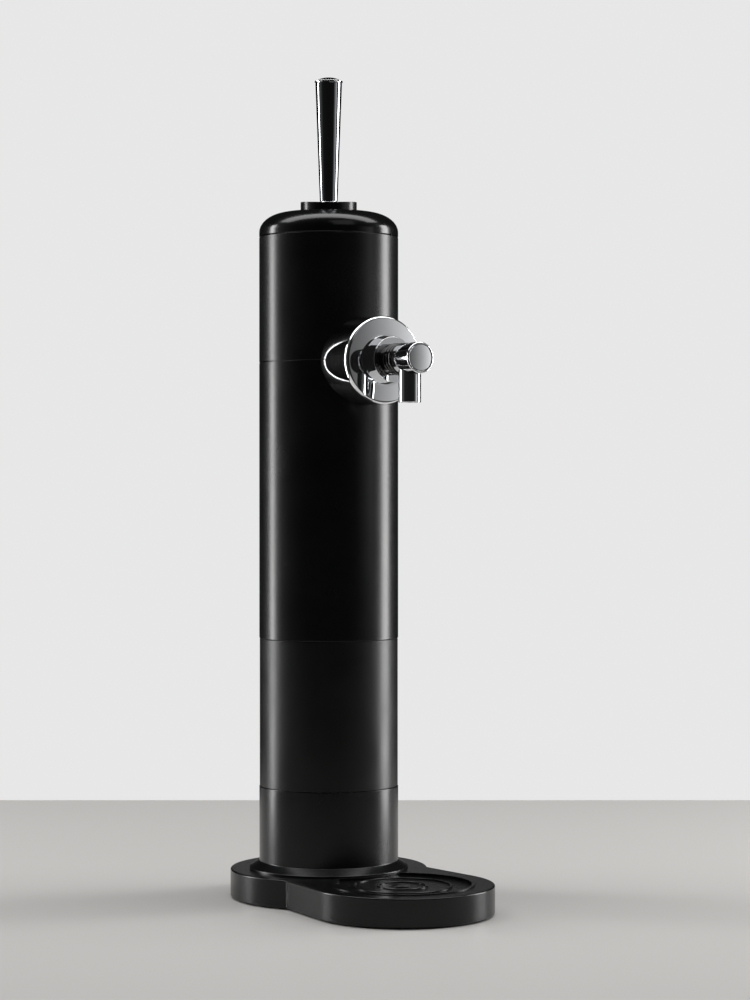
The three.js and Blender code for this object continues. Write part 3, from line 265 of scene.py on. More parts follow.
# A node, with its settings such as an operation, and the values of its inputs
def addNode(tree, kind, inputs=None, **settings):
    node = tree.nodes.new(kind)
    for setting, value in settings.items():
        setattr(node, setting, value)
    for socket, value in (inputs or {}).items():
        node.inputs[socket].default_value = value
    return node


# Each route is a node and its output, then a node and its input
def connect(tree, *routes):
    for start, output, end, socket in routes:
        tree.links.new(start.outputs[output], end.inputs[socket])


# A card that is dim at one side and bright at the other
def gradeLamp(data, values):
    data.use_nodes = True
    tree = data.node_tree
    place = addNode(tree, "ShaderNodeNewGeometry")
    apart = addNode(tree, "ShaderNodeSeparateXYZ")
    curve = addNode(tree, "ShaderNodeMath", {1: values["cardCurve"]}, operation="POWER")
    level = addNode(tree, "ShaderNodeMapRange", {"To Min": values["cardDimSide"]})
    connect(tree, (place, "Parametric", apart, "Vector"), (apart, "X", curve, 0),
            (curve, "Value", level, "Value"), (level, "Result", tree.nodes["Emission"], "Strength"))


def addLamps(values):
    for name, (angle, distance, height, width, tall, power) in values["lamps"].items():
        data = bpy.data.lights.new(name, "AREA")
        data.shape = "RECTANGLE"
        data.size = width
        data.size_y = tall
        data.energy = power
        if name == values["gradedCard"]:
            gradeLamp(data, values)
        lamp = bpy.data.objects.new(name, data)
        bpy.context.scene.collection.objects.link(lamp)
        lamp.location = roundTheTower(angle, distance) + Vector((0, 0, height))
        aim = Vector((0, 0, values["aimHeight"])) - lamp.location
        if height < values["uprightBelow"]:
            aim.z = 0
        lamp.rotation_euler = aim.to_track_quat("-Z", "Y").to_euler()


def addWorld(values):
    world = bpy.data.worlds.new("studio")
    bpy.context.scene.world = world
    world.use_nodes = True
    tree = world.node_tree
    tree.nodes.clear()
    rays = addNode(tree, "ShaderNodeLightPath")
    place = addNode(tree, "ShaderNodeTexCoord")
    facing = addNode(tree, "ShaderNodeVectorMath", {1: roundTheTower(0, 1)}, operation="DOT_PRODUCT")
    spread = addNode(tree, "ShaderNodeMapRange", {"From Min": -1})
    ramp = addNode(tree, "ShaderNodeValToRGB")
    stops = ramp.color_ramp.elements
    while len(stops) < len(values["surround"]):
        stops.new(0.5)
    for stop, (position, level) in zip(stops, values["surround"]):
        stop.position = position
        stop.color = (level, level, level, 1)
    shiny = addNode(tree, "ShaderNodeMath", operation="MAXIMUM")
    white = (1, 1, 1, 1)
    soft = addNode(tree, "ShaderNodeBackground", {"Color": white, "Strength": values["ambient"]})
    around = addNode(tree, "ShaderNodeBackground")
    behind = addNode(tree, "ShaderNodeBackground", {"Color": white, "Strength": values["backdrop"]})
    reflected = addNode(tree, "ShaderNodeMixShader")
    seen = addNode(tree, "ShaderNodeMixShader")
    output = addNode(tree, "ShaderNodeOutputWorld")
    connect(tree, (place, "Generated", facing, 0), (facing, "Value", spread, "Value"),
            (spread, "Result", ramp, "Fac"), (ramp, "Color", around, "Color"),
            (rays, "Is Glossy Ray", shiny, 0), (rays, "Is Transmission Ray", shiny, 1),
            (shiny, "Value", reflected, "Fac"), (soft, "Background", reflected, 1),
            (around, "Background", reflected, 2), (rays, "Is Camera Ray", seen, "Fac"),
            (reflected, "Shader", seen, 1), (behind, "Background", seen, 2),
            (seen, "Shader", output, "Surface"))


def addFloor(values):
    deselectAll()
    bpy.ops.mesh.primitive_plane_add(size=1)
    floor = bpy.context.object
    floor.name = "studio_floor"
    depth = values["floorBack"] + values["floorFront"]
    floor.scale = (values["floorWidth"], depth, 1)
    floor.location = (0, values["floorBack"] - depth / 2, -values["floorDrop"] * mm)
    settle(floor)
    aheadX, aheadY = cameraValues["heading"]
    floor.rotation_euler.z = -math.atan2(aheadX, aheadY)
    settle(floor)
    material = bpy.data.materials.new("paleFloor")
    material.use_nodes = True
    shader = material.node_tree.nodes["Principled BSDF"]
    shader.inputs["Base Color"].default_value = values["floorColour"]
    shader.inputs["Roughness"].default_value = values["floorRoughness"]
    floor.data.materials.append(material)


bpy.context.scene.view_settings.view_transform = "Standard"
addCamera(cameraValues)
addLamps(studioValues)
addWorld(studioValues)
addFloor(studioValues)
print("camera and studio ready")


# Shared effects

# Every group takes a Vector and the inputs given here, and gives one output
def newGroup(name, inputs, output, outputKind="NodeSocketFloat"):
    group = bpy.data.node_groups.new(name, "ShaderNodeTree")
    group.interface.new_socket(name="Vector", in_out="INPUT", socket_type="NodeSocketVector")
    for label, value in inputs.items():
        kind = "NodeSocketColor" if isinstance(value, tuple) else "NodeSocketFloat"
        group.interface.new_socket(name=label, in_out="INPUT", socket_type=kind).default_value = value
    group.interface.new_socket(name=output, in_out="OUTPUT", socket_type=outputKind)
    return group, group.nodes.new("NodeGroupInput"), group.nodes.new("NodeGroupOutput")


# Noise at the group's own Scale. It follows the group's Vector, or another node's when one is given
def addNoise(group, given, detail, source=None, **inputs):
    noise = addNode(group, "ShaderNodeTexNoise", {"Detail": detail, **inputs})
    connect(group, (source or given, "Vector", noise, "Vector"), (given, "Scale", noise, "Scale"))
    return noise


def addStretch(group, given, scale):
    stretch = addNode(group, "ShaderNodeMapping", {"Scale": scale})
    connect(group, (given, "Vector", stretch, "Vector"))
    return stretch


# Moulding or casting texture: a fine height made of two sizes of grain
def makeGrainGroup():
    group, given, result = newGroup("fineGrain", {"Scale": 2200.0, "Coarse": 0.3}, "Height")
    fine = addNoise(group, given, 3)
    wide = addNode(group, "ShaderNodeMath", {1: 0.21}, operation="MULTIPLY")
    coarse = addNode(group, "ShaderNodeTexNoise", {"Detail": 2})
    mix = addNode(group, "ShaderNodeMix", data_type="FLOAT")
    connect(group, (given, "Scale", wide, 0), (given, "Vector", coarse, "Vector"),
            (wide, "Value", coarse, "Scale"), (given, "Coarse", mix, 0), (fine, "Fac", mix, 2),
            (coarse, "Fac", mix, 3), (mix, 0, result, "Height"))
    return group


# Uneven polish: a roughness that wanders between two values, with faint wiping marks
def makePolishGroup():
    inputs = {"Scale": 24.0, "Smoothest": 0.2, "Roughest": 0.3}
    group, given, result = newGroup("unevenPolish", inputs, "Roughness")
    cloud = addNoise(group, given, 5, Roughness=0.6)
    wipes = addNoise(group, given, 4, addStretch(group, given, (9, 9, 0.35)))
    blend = addNode(group, "ShaderNodeMix", {0: 0.2}, data_type="FLOAT")
    spread = addNode(group, "ShaderNodeMapRange", {"From Min": 0.32, "From Max": 0.68})
    connect(group, (cloud, "Fac", blend, 2), (wipes, "Fac", blend, 3), (blend, 0, spread, "Value"),
            (given, "Smoothest", spread, "To Min"), (given, "Roughest", spread, "To Max"),
            (spread, "Result", result, "Roughness"))
    return group


# Slight colour drift between two shades
def makeShadeGroup():
    inputs = {"Scale": 40.0, "Shade": (0.5, 0.5, 0.5, 1), "Tint": (0.6, 0.6, 0.6, 1)}
    group, given, result = newGroup("shadeDrift", inputs, "Color", "NodeSocketColor")
    cloud = addNoise(group, given, 4)
    spread = addNode(group, "ShaderNodeMapRange", {"From Min": 0.35, "From Max": 0.65})
    mix = addNode(group, "ShaderNodeMix", data_type="RGBA")
    connect(group, (cloud, "Fac", spread, "Value"), (spread, "Result", mix, 0), (given, "Shade", mix, 6),
            (given, "Tint", mix, 7), (mix, 2, result, "Color"))
    return group


# Fine lines left by turning or brushing, round the Z axis of the pattern
def makeBrushGroup():
    group, given, result = newGroup("brushLines", {"Scale": 900.0}, "Height")
    brushed = addNoise(group, given, 5, addStretch(group, given, (0.03, 0.03, 1)))
    connect(group, (brushed, "Fac", result, "Height"))
    return group


grainGroup = makeGrainGroup()
polishGroup = makePolishGroup()
shadeGroup = makeShadeGroup()
brushGroup = makeBrushGroup()


# A finish has two shades, a range of roughness, and as a bump a grain or brushed lines
def makeFinish(name, values):
    material = bpy.data.materials.new(name)
    material.use_nodes = True
    tree = material.node_tree
    shader = tree.nodes["Principled BSDF"]
    place = addNode(tree, "ShaderNodeTexCoord")
    shades = {"Scale": values.get("shadeScale", 40), "Shade": (*values["shade"], 1),
              "Tint": (*values["tint"], 1)}
    shade = addNode(tree, "ShaderNodeGroup", shades, node_tree=shadeGroup)
    smoothest, roughest = values["rough"]
    wear = {"Scale": values.get("polishScale", 24), "Smoothest": smoothest, "Roughest": roughest}
    polish = addNode(tree, "ShaderNodeGroup", wear, node_tree=polishGroup)
    connect(tree, (place, "Object", shade, "Vector"), (shade, "Color", shader, "Base Color"),
            (place, "Object", polish, "Vector"), (polish, "Roughness", shader, "Roughness"))
    shader.inputs["Metallic"].default_value = values.get("metal", 0)
    shader.inputs["IOR"].default_value = values.get("ior", 1.46)
    shader.inputs["Coat Weight"].default_value = values.get("coat", 0)
    shader.inputs["Coat Roughness"].default_value = 0.1
    shader.inputs["Sheen Weight"].default_value = values.get("sheen", 0)
    shader.inputs["Transmission Weight"].default_value = values.get("clear", 0)
    if "relief" in values:
        pattern = brushGroup if values.get("brushed") else grainGroup
        relief = addNode(tree, "ShaderNodeGroup", {"Scale": values["grain"]}, node_tree=pattern)
        height = {"Strength": values["relief"], "Distance": values.get("depth", 0.02) * mm}
        bump = addNode(tree, "ShaderNodeBump", height)
        connect(tree, (place, "Object", relief, "Vector"), (relief, "Height", bump, "Height"),
                (bump, "Normal", shader, "Normal"))
    return material


deepBlack = dict(shade=(0.0020, 0.0021, 0.0023), tint=(0.0030, 0.0031, 0.0034))
finishes = {
    "satinBlack": dict(shade=(0.0022, 0.0023, 0.0026), tint=(0.0036, 0.0037, 0.0041), rough=(0.24, 0.28),
                       grain=1500, relief=0.16, ior=1.38),
    "headBlack": dict(shade=(0.0022, 0.0023, 0.0026), tint=(0.0038, 0.0039, 0.0043), rough=(0.24, 0.29),
                      grain=1400, relief=0.2, ior=1.38),
    "matteBlack": dict(shade=(0.0028, 0.0029, 0.0032), tint=(0.0044, 0.0045, 0.0050), rough=(0.29, 0.37),
                       grain=1700, relief=0.3, ior=1.38),
    "glossBlack": dict(deepBlack, rough=(0.22, 0.27), grain=1200, relief=0.08, ior=1.38),
    "innerPlastic": dict(shade=(0.075, 0.076, 0.084), tint=(0.10, 0.10, 0.11), rough=(0.45, 0.6), grain=1400,
                         relief=0.5, depth=0.03),
    "whitePlastic": dict(shade=(0.64, 0.64, 0.61), tint=(0.72, 0.72, 0.69), rough=(0.35, 0.48), grain=1400,
                         relief=0.3),
    "chromePlate": dict(shade=(0.76, 0.77, 0.79), tint=(0.82, 0.83, 0.84), rough=(0.03, 0.042), metal=1,
                        polishScale=12),
    "capBlack": dict(deepBlack, rough=(0.16, 0.20), grain=1200, relief=0.05, ior=1.38),
    "mirrorBlack": dict(deepBlack, rough=(0.05, 0.08), ior=1.6),
    "darkChrome": dict(shade=(0.34, 0.35, 0.37), tint=(0.38, 0.39, 0.40), rough=(0.05, 0.07), metal=1,
                       polishScale=12),
    "plainSteel": dict(shade=(0.52, 0.53, 0.55), tint=(0.62, 0.63, 0.65), rough=(0.26, 0.38), metal=1,
                       brushed=True, grain=1500, relief=0.25, depth=0.01),
    "castIron": dict(shade=(0.055, 0.055, 0.06), tint=(0.10, 0.10, 0.105), rough=(0.55, 0.75), metal=0.8,
                     grain=900, relief=0.9, depth=0.08, shadeScale=120),
    "turnedBrass": dict(shade=(0.52, 0.38, 0.15), tint=(0.60, 0.46, 0.20), rough=(0.24, 0.38), metal=1,
                        brushed=True, grain=1600, relief=0.3, depth=0.01),
    "blackRubber": dict(shade=(0.014, 0.014, 0.014), tint=(0.024, 0.024, 0.024), rough=(0.6, 0.75),
                        grain=1800, relief=0.5, depth=0.03, sheen=0.15),
    "siliconeHose": dict(shade=(0.58, 0.59, 0.56), tint=(0.66, 0.67, 0.64), rough=(0.3, 0.42), grain=900,
                         relief=0.1, clear=0.35),
    "wireCover": dict(shade=(0.012, 0.012, 0.012), tint=(0.02, 0.02, 0.02), rough=(0.42, 0.52), grain=1500,
                      relief=0.2),
    "solderMask": dict(shade=(0.02, 0.12, 0.05), tint=(0.04, 0.20, 0.09), rough=(0.28, 0.4), coat=0.4,
                       shadeScale=260, grain=700, relief=0.5, depth=0.04),
    "cellSleeve": dict(shade=(0.30, 0.31, 0.33), tint=(0.38, 0.39, 0.41), rough=(0.22, 0.32), coat=0.5,
                       grain=1200, relief=0.1),
    "ceramic": dict(shade=(0.72, 0.69, 0.59), tint=(0.78, 0.75, 0.65), rough=(0.5, 0.62), grain=1500,
                    relief=0.4),
}
finish = {name: makeFinish(name, values) for name, values in finishes.items()}
print("finishes ready:", len(finish))

# CAD nodes that keep their shape, by finish
keptNodes = {
    "innerPlastic": ["base_cover", "mechanism_deck", "battery_box", "pump_head", "pour_switch", "foam_switch",
                     "tower_nut"],
    "whitePlastic": ["pour_plunger", "foam_plunger"],
    "plainSteel": ["cover_screw_1", "cover_screw_2", "cover_screw_3", "deck_screw_1", "deck_screw_2",
                   "deck_screw_3", "pivot_pin", "pump_shaft", "pump_motor", "battery_contacts", "pour_spring",
                   "foam_spring"],
    "castIron": ["base_weight"],
    "turnedBrass": ["tap_stem", "tap_nut"],
    "siliconeHose": ["beer_hose", "air_hose"],
    "wireCover": ["pump_wires", "piezo_wires"],
    "solderMask": ["circuit_board"],
    "ceramic": ["piezo_disc"],
}
for finishName, nodeNames in keptNodes.items():
    for nodeName in nodeNames:
        giveFinish(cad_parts[nodeName], finishName)
print("kept nodes finished")


# Base: one moulding with a round foot and a round stand

baseValues = {
    "footRadius": 70.8, "standRadius": 64, "standReach": 96, "bridgeHalfWidth": 59.4,
    "low": 0.8, "top": 20.7, "wall": 2.5, "ceiling": 2.7, "edge": 1.1, "trayRecess": 2.6,
    "trayRadius": 50.5, "trayBite": 58, "stubHole": 16.3, "footSteps": 200, "standSteps": 110,
    "bridgeEnd": -28,
}


# The stand's round and the straight sides that touch it and end inside the foot
def standPlan(name, size, inset, low, high):
    stand, reach = size.standRadius - inset, size.standReach
    half = size.bridgeHalfWidth - inset
    start = math.sqrt(size.footRadius ** 2 - size.bridgeHalfWidth ** 2)
    touchAngle = math.atan2(reach - start, half) - math.acos(stand / math.hypot(half, reach - start))
    points, steps = [], size.standSteps
    for i in range(steps + 1):
        angle = math.pi - touchAngle + (math.pi + 2 * touchAngle) * i / steps
        points.append((stand * math.cos(angle), stand * math.sin(angle) - reach))
    endY = size.bridgeEnd
    endX = half - (start + endY) * math.tan(touchAngle)
    points += [(endX, endY), (-endX, endY)]
    deselectAll()
    bpy.ops.mesh.primitive_circle_add(vertices=len(points), radius=1, fill_type="NGON")
    plan = bpy.context.object
    plan.name = name
    for vertex, (x, y) in zip(plan.data.vertices, points):
        vertex.co = (x * mm, y * mm, low * mm)
    bpy.ops.object.mode_set(mode="EDIT")
    bpy.ops.mesh.select_all(action="SELECT")
    bpy.ops.mesh.extrude_region_move(TRANSFORM_OT_translate={"value": (0, 0, (high - low) * mm)})
    bpy.ops.object.mode_set(mode="OBJECT")
    closeMesh(plan)
    return plan


def makeBaseShell(size):
    low, top, edge = size.low, size.top, size.edge
    shell = addBar("visualBaseShell", size.footRadius, low, top, size.footSteps)
    stand = standPlan("standBlock", size, 0, low, top)
    for block in (shell, stand):
        roundEdges(block, edge, 4, 60)
    join(shell, stand)
    ceiling = top - size.ceiling - size.trayRecess
    inner = size.footRadius - size.wall
    carve(shell, addBar("footHollow", inner, low - 2, ceiling, size.footSteps))
    carve(shell, standPlan("standHollow", size, size.wall, low - 2, ceiling))
    recess = addBar("trayRecess", size.trayRadius, top - size.trayRecess, top + 4, 160,
                    place=(0, -size.standReach, 0))
    carve(recess, addBar("trayBite", size.trayBite, low, top + 8, 160))
    carve(shell, recess)
    carve(shell, addBar("stubHole", size.stubHole, -1, top + 4, 96))
    return shell


buildPiece(makeBaseShell, baseValues, "glossBlack", "satin_black", "base", "base_shell", angle=35)
print("base shell made")

trayValues = {
    "radius": 50.2, "bite": 58.3, "low": 18.1, "floor": 1.2, "rim": 21.2, "rimWidth": 2.2,
    "edge": 0.45, "ribWidth": 1.8, "ribHeight": 0.8, "hubRadius": 6, "hubEdge": 0.3,
    "ringMiddles": (16.8, 33.7), "reach": 96,
}


def makeTray(size):
    def roundedPlan(name, inset, low, high):
        plan = addBar(name, size.radius - inset, low, high, 160, place=(0, -size.reach, 0))
        return carve(plan, addBar(name + "Bite", size.bite + inset, low - 2, high + 2, 160))

    tray = roundedPlan("visualDripTray", 0, size.low, size.rim)
    floor = size.low + size.floor
    carve(tray, roundedPlan("trayPocket", size.rimWidth, floor, size.rim + 3))
    roundEdges(tray, size.edge, 3, 40)
    half, edge = size.ribWidth / 2, size.ribHeight / 3
    low, top = floor - size.floor / 2, floor + size.ribHeight
    for middle in size.ringMiddles:
        near, far = middle - half, middle + half
        profile = [(near, low), (far, low), (far, top - edge), (far - edge, top), (near + edge, top),
                   (near, top - edge)]
        rib = turnRound("trayRing", profile, closed=True, y=-size.reach)
        carve(rib, roundedPlan("ringRoom", size.rimWidth / 2, low - 2, top + 2), "INTERSECT")
        join(tray, rib)
    radius, edge = size.hubRadius, size.hubEdge
    hub = [(radius, low), (radius, top - edge), (radius - edge, top)]
    join(tray, turnRound("trayHub", hub, 96, y=-size.reach))
    return tray


buildPiece(makeTray, trayValues, "satinBlack", "satin_black", "tray", "drip_tray", angle=35)

padValues = {
    "tower_pad": {"radius": 52, "y": 0, "grooves": (20, 28, 36, 44)},
    "stand_pad": {"radius": 44, "y": -96, "grooves": (12, 20, 28, 36)},
    "height": 1.2,
    "edge": 0.3,
    "grooveWidth": 1.6,
    "grooveDepth": 0.5,
    "towerClear": 52.3,
}


def makePad(name, size, shared):
    height, depth, half = shared.height, shared.grooveDepth, shared.grooveWidth / 2
    profile = [(shared.grooveWidth, 0)]
    for middle in size.grooves:
        profile += [(middle - half, 0), (middle - half, depth), (middle + half, depth), (middle + half, 0)]
    profile += [(size.radius - shared.edge, 0), (size.radius, shared.edge), (size.radius, height)]
    pad = turnRound("visual_" + name, profile, y=size.y)
    if size.y:  # the stand's pad makes way for the tower's
        carve(pad, addBar("padClear", shared.towerClear, -2, height + 2, 128))
    return pad


for padName in ("tower_pad", "stand_pad"):
    rubberPad = makePad(padName, SimpleNamespace(**padValues[padName]), SimpleNamespace(**padValues))
    finishPiece(rubberPad, "blackRubber", "rubber", "base", padName)
print("base finished")


# Tower

towerValues = {
    "radius": 50, "inner": 47, "middleRadius": 49.7, "lowSeam": 80, "highSeam": 186,
    "headSeam": 384, "chamfer": 0.6, "spigotRadius": 46.6, "spigotWall": 2, "spigotDepth": 12,
    "spigotEdge": 0.6, "spigotShoulder": 4, "sealRise": 3, "sealDepth": 0.9, "sealHeight": 2.2,
    "footLow": 20.7, "flareRadius": 57, "flareLip": 1.5, "flareRise": 5.6, "flareEase": 0.4,
    "floor": 3, "stubRadius": 16, "stubWall": 3, "stubDrop": 11, "tapHole": 9,
    "tapHeight": 383.3, "sides": 160,
}


# Three points of a tube's lower end, or the same mirrored for its upper end
def chamferedEnd(radius, height, chamfer, upwards):
    inwards = -chamfer if upwards else chamfer
    points = [(radius - chamfer * 2, height), (radius - chamfer * 0.5, height + inwards * 0.25),
              (radius, height + inwards)]
    return points[::-1] if upwards else points


# A spigot from its foot up to the seam, with the groove for its seal
def spigotPoints(size, outer, wall, foot, seam):
    groove, floor = foot + size.sealRise, outer - size.sealDepth
    return [
        (outer - wall, foot), (outer - size.spigotEdge, foot), (outer, foot + size.spigotEdge),
        (outer, groove), (floor, groove), (floor, groove + size.sealHeight),
        (outer, groove + size.sealHeight), (outer, seam),
    ]


def makeLowerTower(size):
    low = size.footLow
    lip, rise = low + size.flareLip, low + size.flareRise
    wide, radius, ease = size.flareRadius, size.radius, size.flareEase
    stub, stubFoot, floor = size.stubRadius, low - size.stubDrop, low + size.floor
    stubInner = stub - size.stubWall
    profile = [
        (stubInner, stubFoot), (stub, stubFoot), (stub, low), (wide, low), (wide, lip - ease),
        (wide - ease / 3, lip - ease / 3), (wide - ease, lip), (radius + ease, rise - ease / 2),
        (radius + ease / 3, rise), (radius, rise + ease),
        *chamferedEnd(radius, size.lowSeam, size.chamfer, True),
        (size.inner, size.lowSeam), (size.inner, floor), (stubInner, floor),
        (stubInner, low + size.floor / 2),
    ]
    tower = turnRound("visualLowerTower", profile, size.sides, closed=True)
    plug = [(stubInner + 1, low + size.floor / 4), (stubInner + 1, floor)]
    join(tower, turnRound("towerFloor", plug, 96))
    return tower


def makeTowerTube(name, size, low, high, radius):
    shoulder = low + size.spigotShoulder
    profile = [
        *spigotPoints(size, size.spigotRadius, size.spigotWall, low - size.spigotDepth, low),
        *chamferedEnd(radius, low, size.chamfer, False),
        *chamferedEnd(radius, high, size.chamfer, True),
        (size.inner, high), (size.inner, shoulder),
        (size.spigotRadius - size.spigotWall, shoulder - 1),
    ]
    return turnRound(name, profile, size.sides, closed=True)


tower = SimpleNamespace(**towerValues)
finishPiece(makeLowerTower(tower), "satinBlack", "satin_black", "base", "lower_tower")

middleTower = makeTowerTube("visualMiddleTower", tower, tower.lowSeam, tower.highSeam, tower.middleRadius)
finishPiece(middleTower, "matteBlack", "matte_black", "base", "middle_tower")

upperTower = makeTowerTube("visualUpperTower", tower, tower.highSeam, tower.headSeam, tower.radius)
carve(upperTower, addForwardBar("tapHole", tower.tapHole, 20, 60, 96, 0, tower.tapHeight))
finishPiece(upperTower, "satinBlack", "satin_black", "base", "upper_tower")
print("tower made")

sealValues = {
    "lower_seal": {"groove": 71, "body": "base"},
    "upper_seal": {"groove": 177, "body": "base"},
    "head_seal": {"groove": 359, "body": "head"},
    "middle": 46.35,
    "section": 0.55,
    "height": 2.2,
}


def makeSeal(name, groove, shared):
    profile = arcPoints(shared.middle, groove + shared.height / 2, shared.section, shared.section, 0, 330, 11)
    return turnRound("visual_" + name, profile, closed=True)


for sealName in ("lower_seal", "upper_seal", "head_seal"):
    seal = makeSeal(sealName, sealValues[sealName]["groove"], SimpleNamespace(**sealValues))
    finishPiece(seal, "blackRubber", "rubber", sealValues[sealName]["body"], sealName, 60)

seatValues = {
    "low": 23.7, "radius": 46.2, "height": 10, "thickness": 4, "mouth": 43.2, "cone": 37.2,
    "edge": 0.6, "rings": (14, 24, 32), "ringHalf": 1, "ringFoot": 0.4, "ringHeight": 0.8,
}


def makeBottleSeat(size):
    low, top = size.low, size.low + size.height
    radius, edge, floor = size.radius, size.edge, low + size.thickness
    profile = [
        (radius - edge, low), (radius, low + edge), (radius, top - edge), (radius - edge, top),
        (size.mouth + edge, top), (size.mouth, top - edge), (size.cone, floor),
    ]
    ringTop, half, foot = floor + size.ringHeight, size.ringHalf, size.ringHalf + size.ringFoot
    for ring in reversed(size.rings):
        profile += [(ring + foot, floor), (ring + half, ringTop), (ring - half, ringTop),
                    (ring - foot, floor)]
    return turnRound("visualBottleSeat", profile)


buildPiece(makeBottleSeat, seatValues, "blackRubber", "rubber", "base", "bottle_seat")
print("seals and seat made")


# Head

headValues = {
    "seam": 384, "height": 90, "radius": 50, "inner": 47, "chamfer": 0.6, "ledgeWidth": 3.5,
    "ledgeHeight": 3.5, "ledgeClear": 0.1, "deck": 52, "tapHole": 9, "tapDrop": 0.7,
    "wireX": 12.2, "wireRise": 5.2, "wireHole": 1.3, "windowHalf": 24, "windowLow": 11.8,
    "windowHigh": 72.8, "airSlots": (-8, 0, 8), "airSlotWidth": 1.4, "airSlotLow": 3.5,
    "airSlotHigh": 9.5, "flange": 48.6, "flangeRise": 4, "sides": 160,
}


def cutAirSlots(piece):
    seam, half = headValues["seam"], headValues["airSlotWidth"] / 2
    for x in headValues["airSlots"]:
        carve(piece, addBlock("airSlot", x - half, x + half, 40, 60, seam + headValues["airSlotLow"],
                              seam + headValues["airSlotHigh"]))


def makeHeadShell(size):
    seam, inner = size.seam, size.inner
    top, ledgeTop = seam + size.height, seam + size.deck
    ledgeLow = ledgeTop - size.ledgeHeight
    profile = [
        (size.flange, seam),
        *chamferedEnd(size.radius, seam, size.chamfer, False),
        *chamferedEnd(size.radius, top, size.chamfer, True),
        (inner, top), (inner, ledgeTop), (inner - size.ledgeWidth, ledgeTop),
        (inner - size.ledgeWidth, ledgeLow), (inner, ledgeLow - 1), (inner, seam + size.flangeRise),
        (size.flange, seam + size.flangeRise),
    ]
    shell = turnRound("visualHeadShell", profile, size.sides, closed=True)
    half = size.windowHalf
    carve(shell, addBlock("window", -half, half, 20, 70, seam + size.windowLow, seam + size.windowHigh))
    room = half + size.ledgeWidth
    back = (inner - size.ledgeClear) * math.cos(math.asin(room / inner))
    carve(shell, addBlock("ledgeRoom", -room, room, 0, back, ledgeLow - 2, ledgeTop + 1))
    carve(shell, addForwardBar("tapHole", size.tapHole, 20, 60, 96, 0, seam - size.tapDrop))
    carve(shell, addForwardBar("wireHole", size.wireHole, 20, 60, 32, size.wireX, seam + size.wireRise))
    cutAirSlots(shell)
    return shell


buildPiece(makeHeadShell, headValues, "headBlack", "satin_black", "head", "head_shell")
print("head shell made")

chassisValues = {
    "radius": 46.6, "wall": 2.5, "drop": 28, "rise": 12, "partition": -17,
    "partitionThickness": 3, "flangeRise": 3.7, "flangeReach": 1.7, "spigotEdge": 0.6,
    "sealRise": 3, "sealDepth": 0.9, "sealHeight": 2.2, "bossRadius": 8, "bossRise": 2,
    "bossDrop": 3, "ribs": 6, "ribHalf": 0.9, "ribDrop": 2, "tubeHole": 4.1, "postRadius": 4,
    "posts": ((31.55, 22.92), (-35.35, 16.48), (25.07, -29.88)), "deck": 52,
    "motor": (-29.5, -4), "motorRadius": 12.3, "motorWall": 2.1, "motorCollar": 8,
    "nippleRadius": 1.7, "nipple": (-13, -24), "nippleRise": 8, "padHalf": 11, "padReach": 41.2,
    "stemHole": 6.3,
}


def makeHeadChassis(size):
    seam = headValues["seam"]
    outer, wall = size.radius, size.wall
    inner = outer - wall
    foot, top = seam - size.drop, seam + size.rise
    flange = outer + size.flangeReach
    plateTop = seam + size.partition
    plateLow = plateTop - size.partitionThickness
    profile = [
        *spigotPoints(size, outer, wall, foot, seam),
        (flange - 0.3, seam), (flange, seam + 0.3), (flange, seam + size.flangeRise),
        (outer, seam + size.flangeRise), (outer, top), (inner, top),
    ]
    chassis = turnRound("visualHeadChassis", profile, 144, closed=True)
    boss = size.bossRadius
    bossLow, plateReach = plateLow - size.bossDrop, inner + 1
    plate = [(boss - 0.5, bossLow), (boss, bossLow + 0.5), (boss, plateLow), (plateReach, plateLow),
             (plateReach, plateTop), (boss, plateTop), (boss, plateTop + size.bossRise)]
    join(chassis, turnRound("partition", plate, 144))
    half, ribLow = size.ribHalf, plateLow - size.ribDrop
    for i in range(size.ribs):  # stiffeners under the partition
        rib = addBlock("rib", boss - 1, plateReach, -half, half, ribLow, plateLow + 1)
        rib.rotation_euler.z = math.pi * i / (size.ribs / 2)
        settle(rib)
        join(chassis, rib)
    motor = (*size.motor, 0)
    join(chassis, addBar("motorCollar", size.motorRadius + size.motorWall, plateLow + 1,
                         plateTop + size.motorCollar, place=motor))
    for place in size.posts:
        post = addBar("post", size.postRadius, plateLow + 1, seam + size.deck, 32, place=(*place, 0))
        join(chassis, post)
    pad = size.padHalf
    join(chassis, addBlock("nutPad", -pad, pad, -plateReach, -size.padReach, seam - size.rise, top - 0.5))
    join(chassis, addBar("nipple", size.nippleRadius, plateLow + 1, plateTop + size.nippleRise, 32,
                         place=(*size.nipple, 0)))
    carve(chassis, addBar("motorRoom", size.motorRadius, plateTop, plateTop + 20, place=motor))
    carve(chassis, addBar("tubeHole", size.tubeHole, foot, plateTop + 9, 48))
    carve(chassis, addForwardBar("stemHole", size.stemHole, 35, 60, 48, 0, seam - headValues["tapDrop"]))
    cutAirSlots(chassis)
    return chassis


buildPiece(makeHeadChassis, chassisValues, "innerPlastic", "inner_plastic", "head", "head_chassis")
print("head chassis made")

capValues = {
    "height": 90, "radius": 50, "skirt": 3.5, "shoulderReach": 21, "shoulderRise": 14.2,
    "crown": 0.5, "crownHole": 8, "crownPlug": 12, "flat": 21, "flatEase": 4, "flatDrop": 0.08,
    "wall": 2.5, "lipRadius": 46.6, "lipWall": 2, "lipDepth": 8, "lipShoulder": 3,
    "chamfer": 0.6, "slotLength": 10.3, "slotWidth": 3.8, "sides": 192,
}


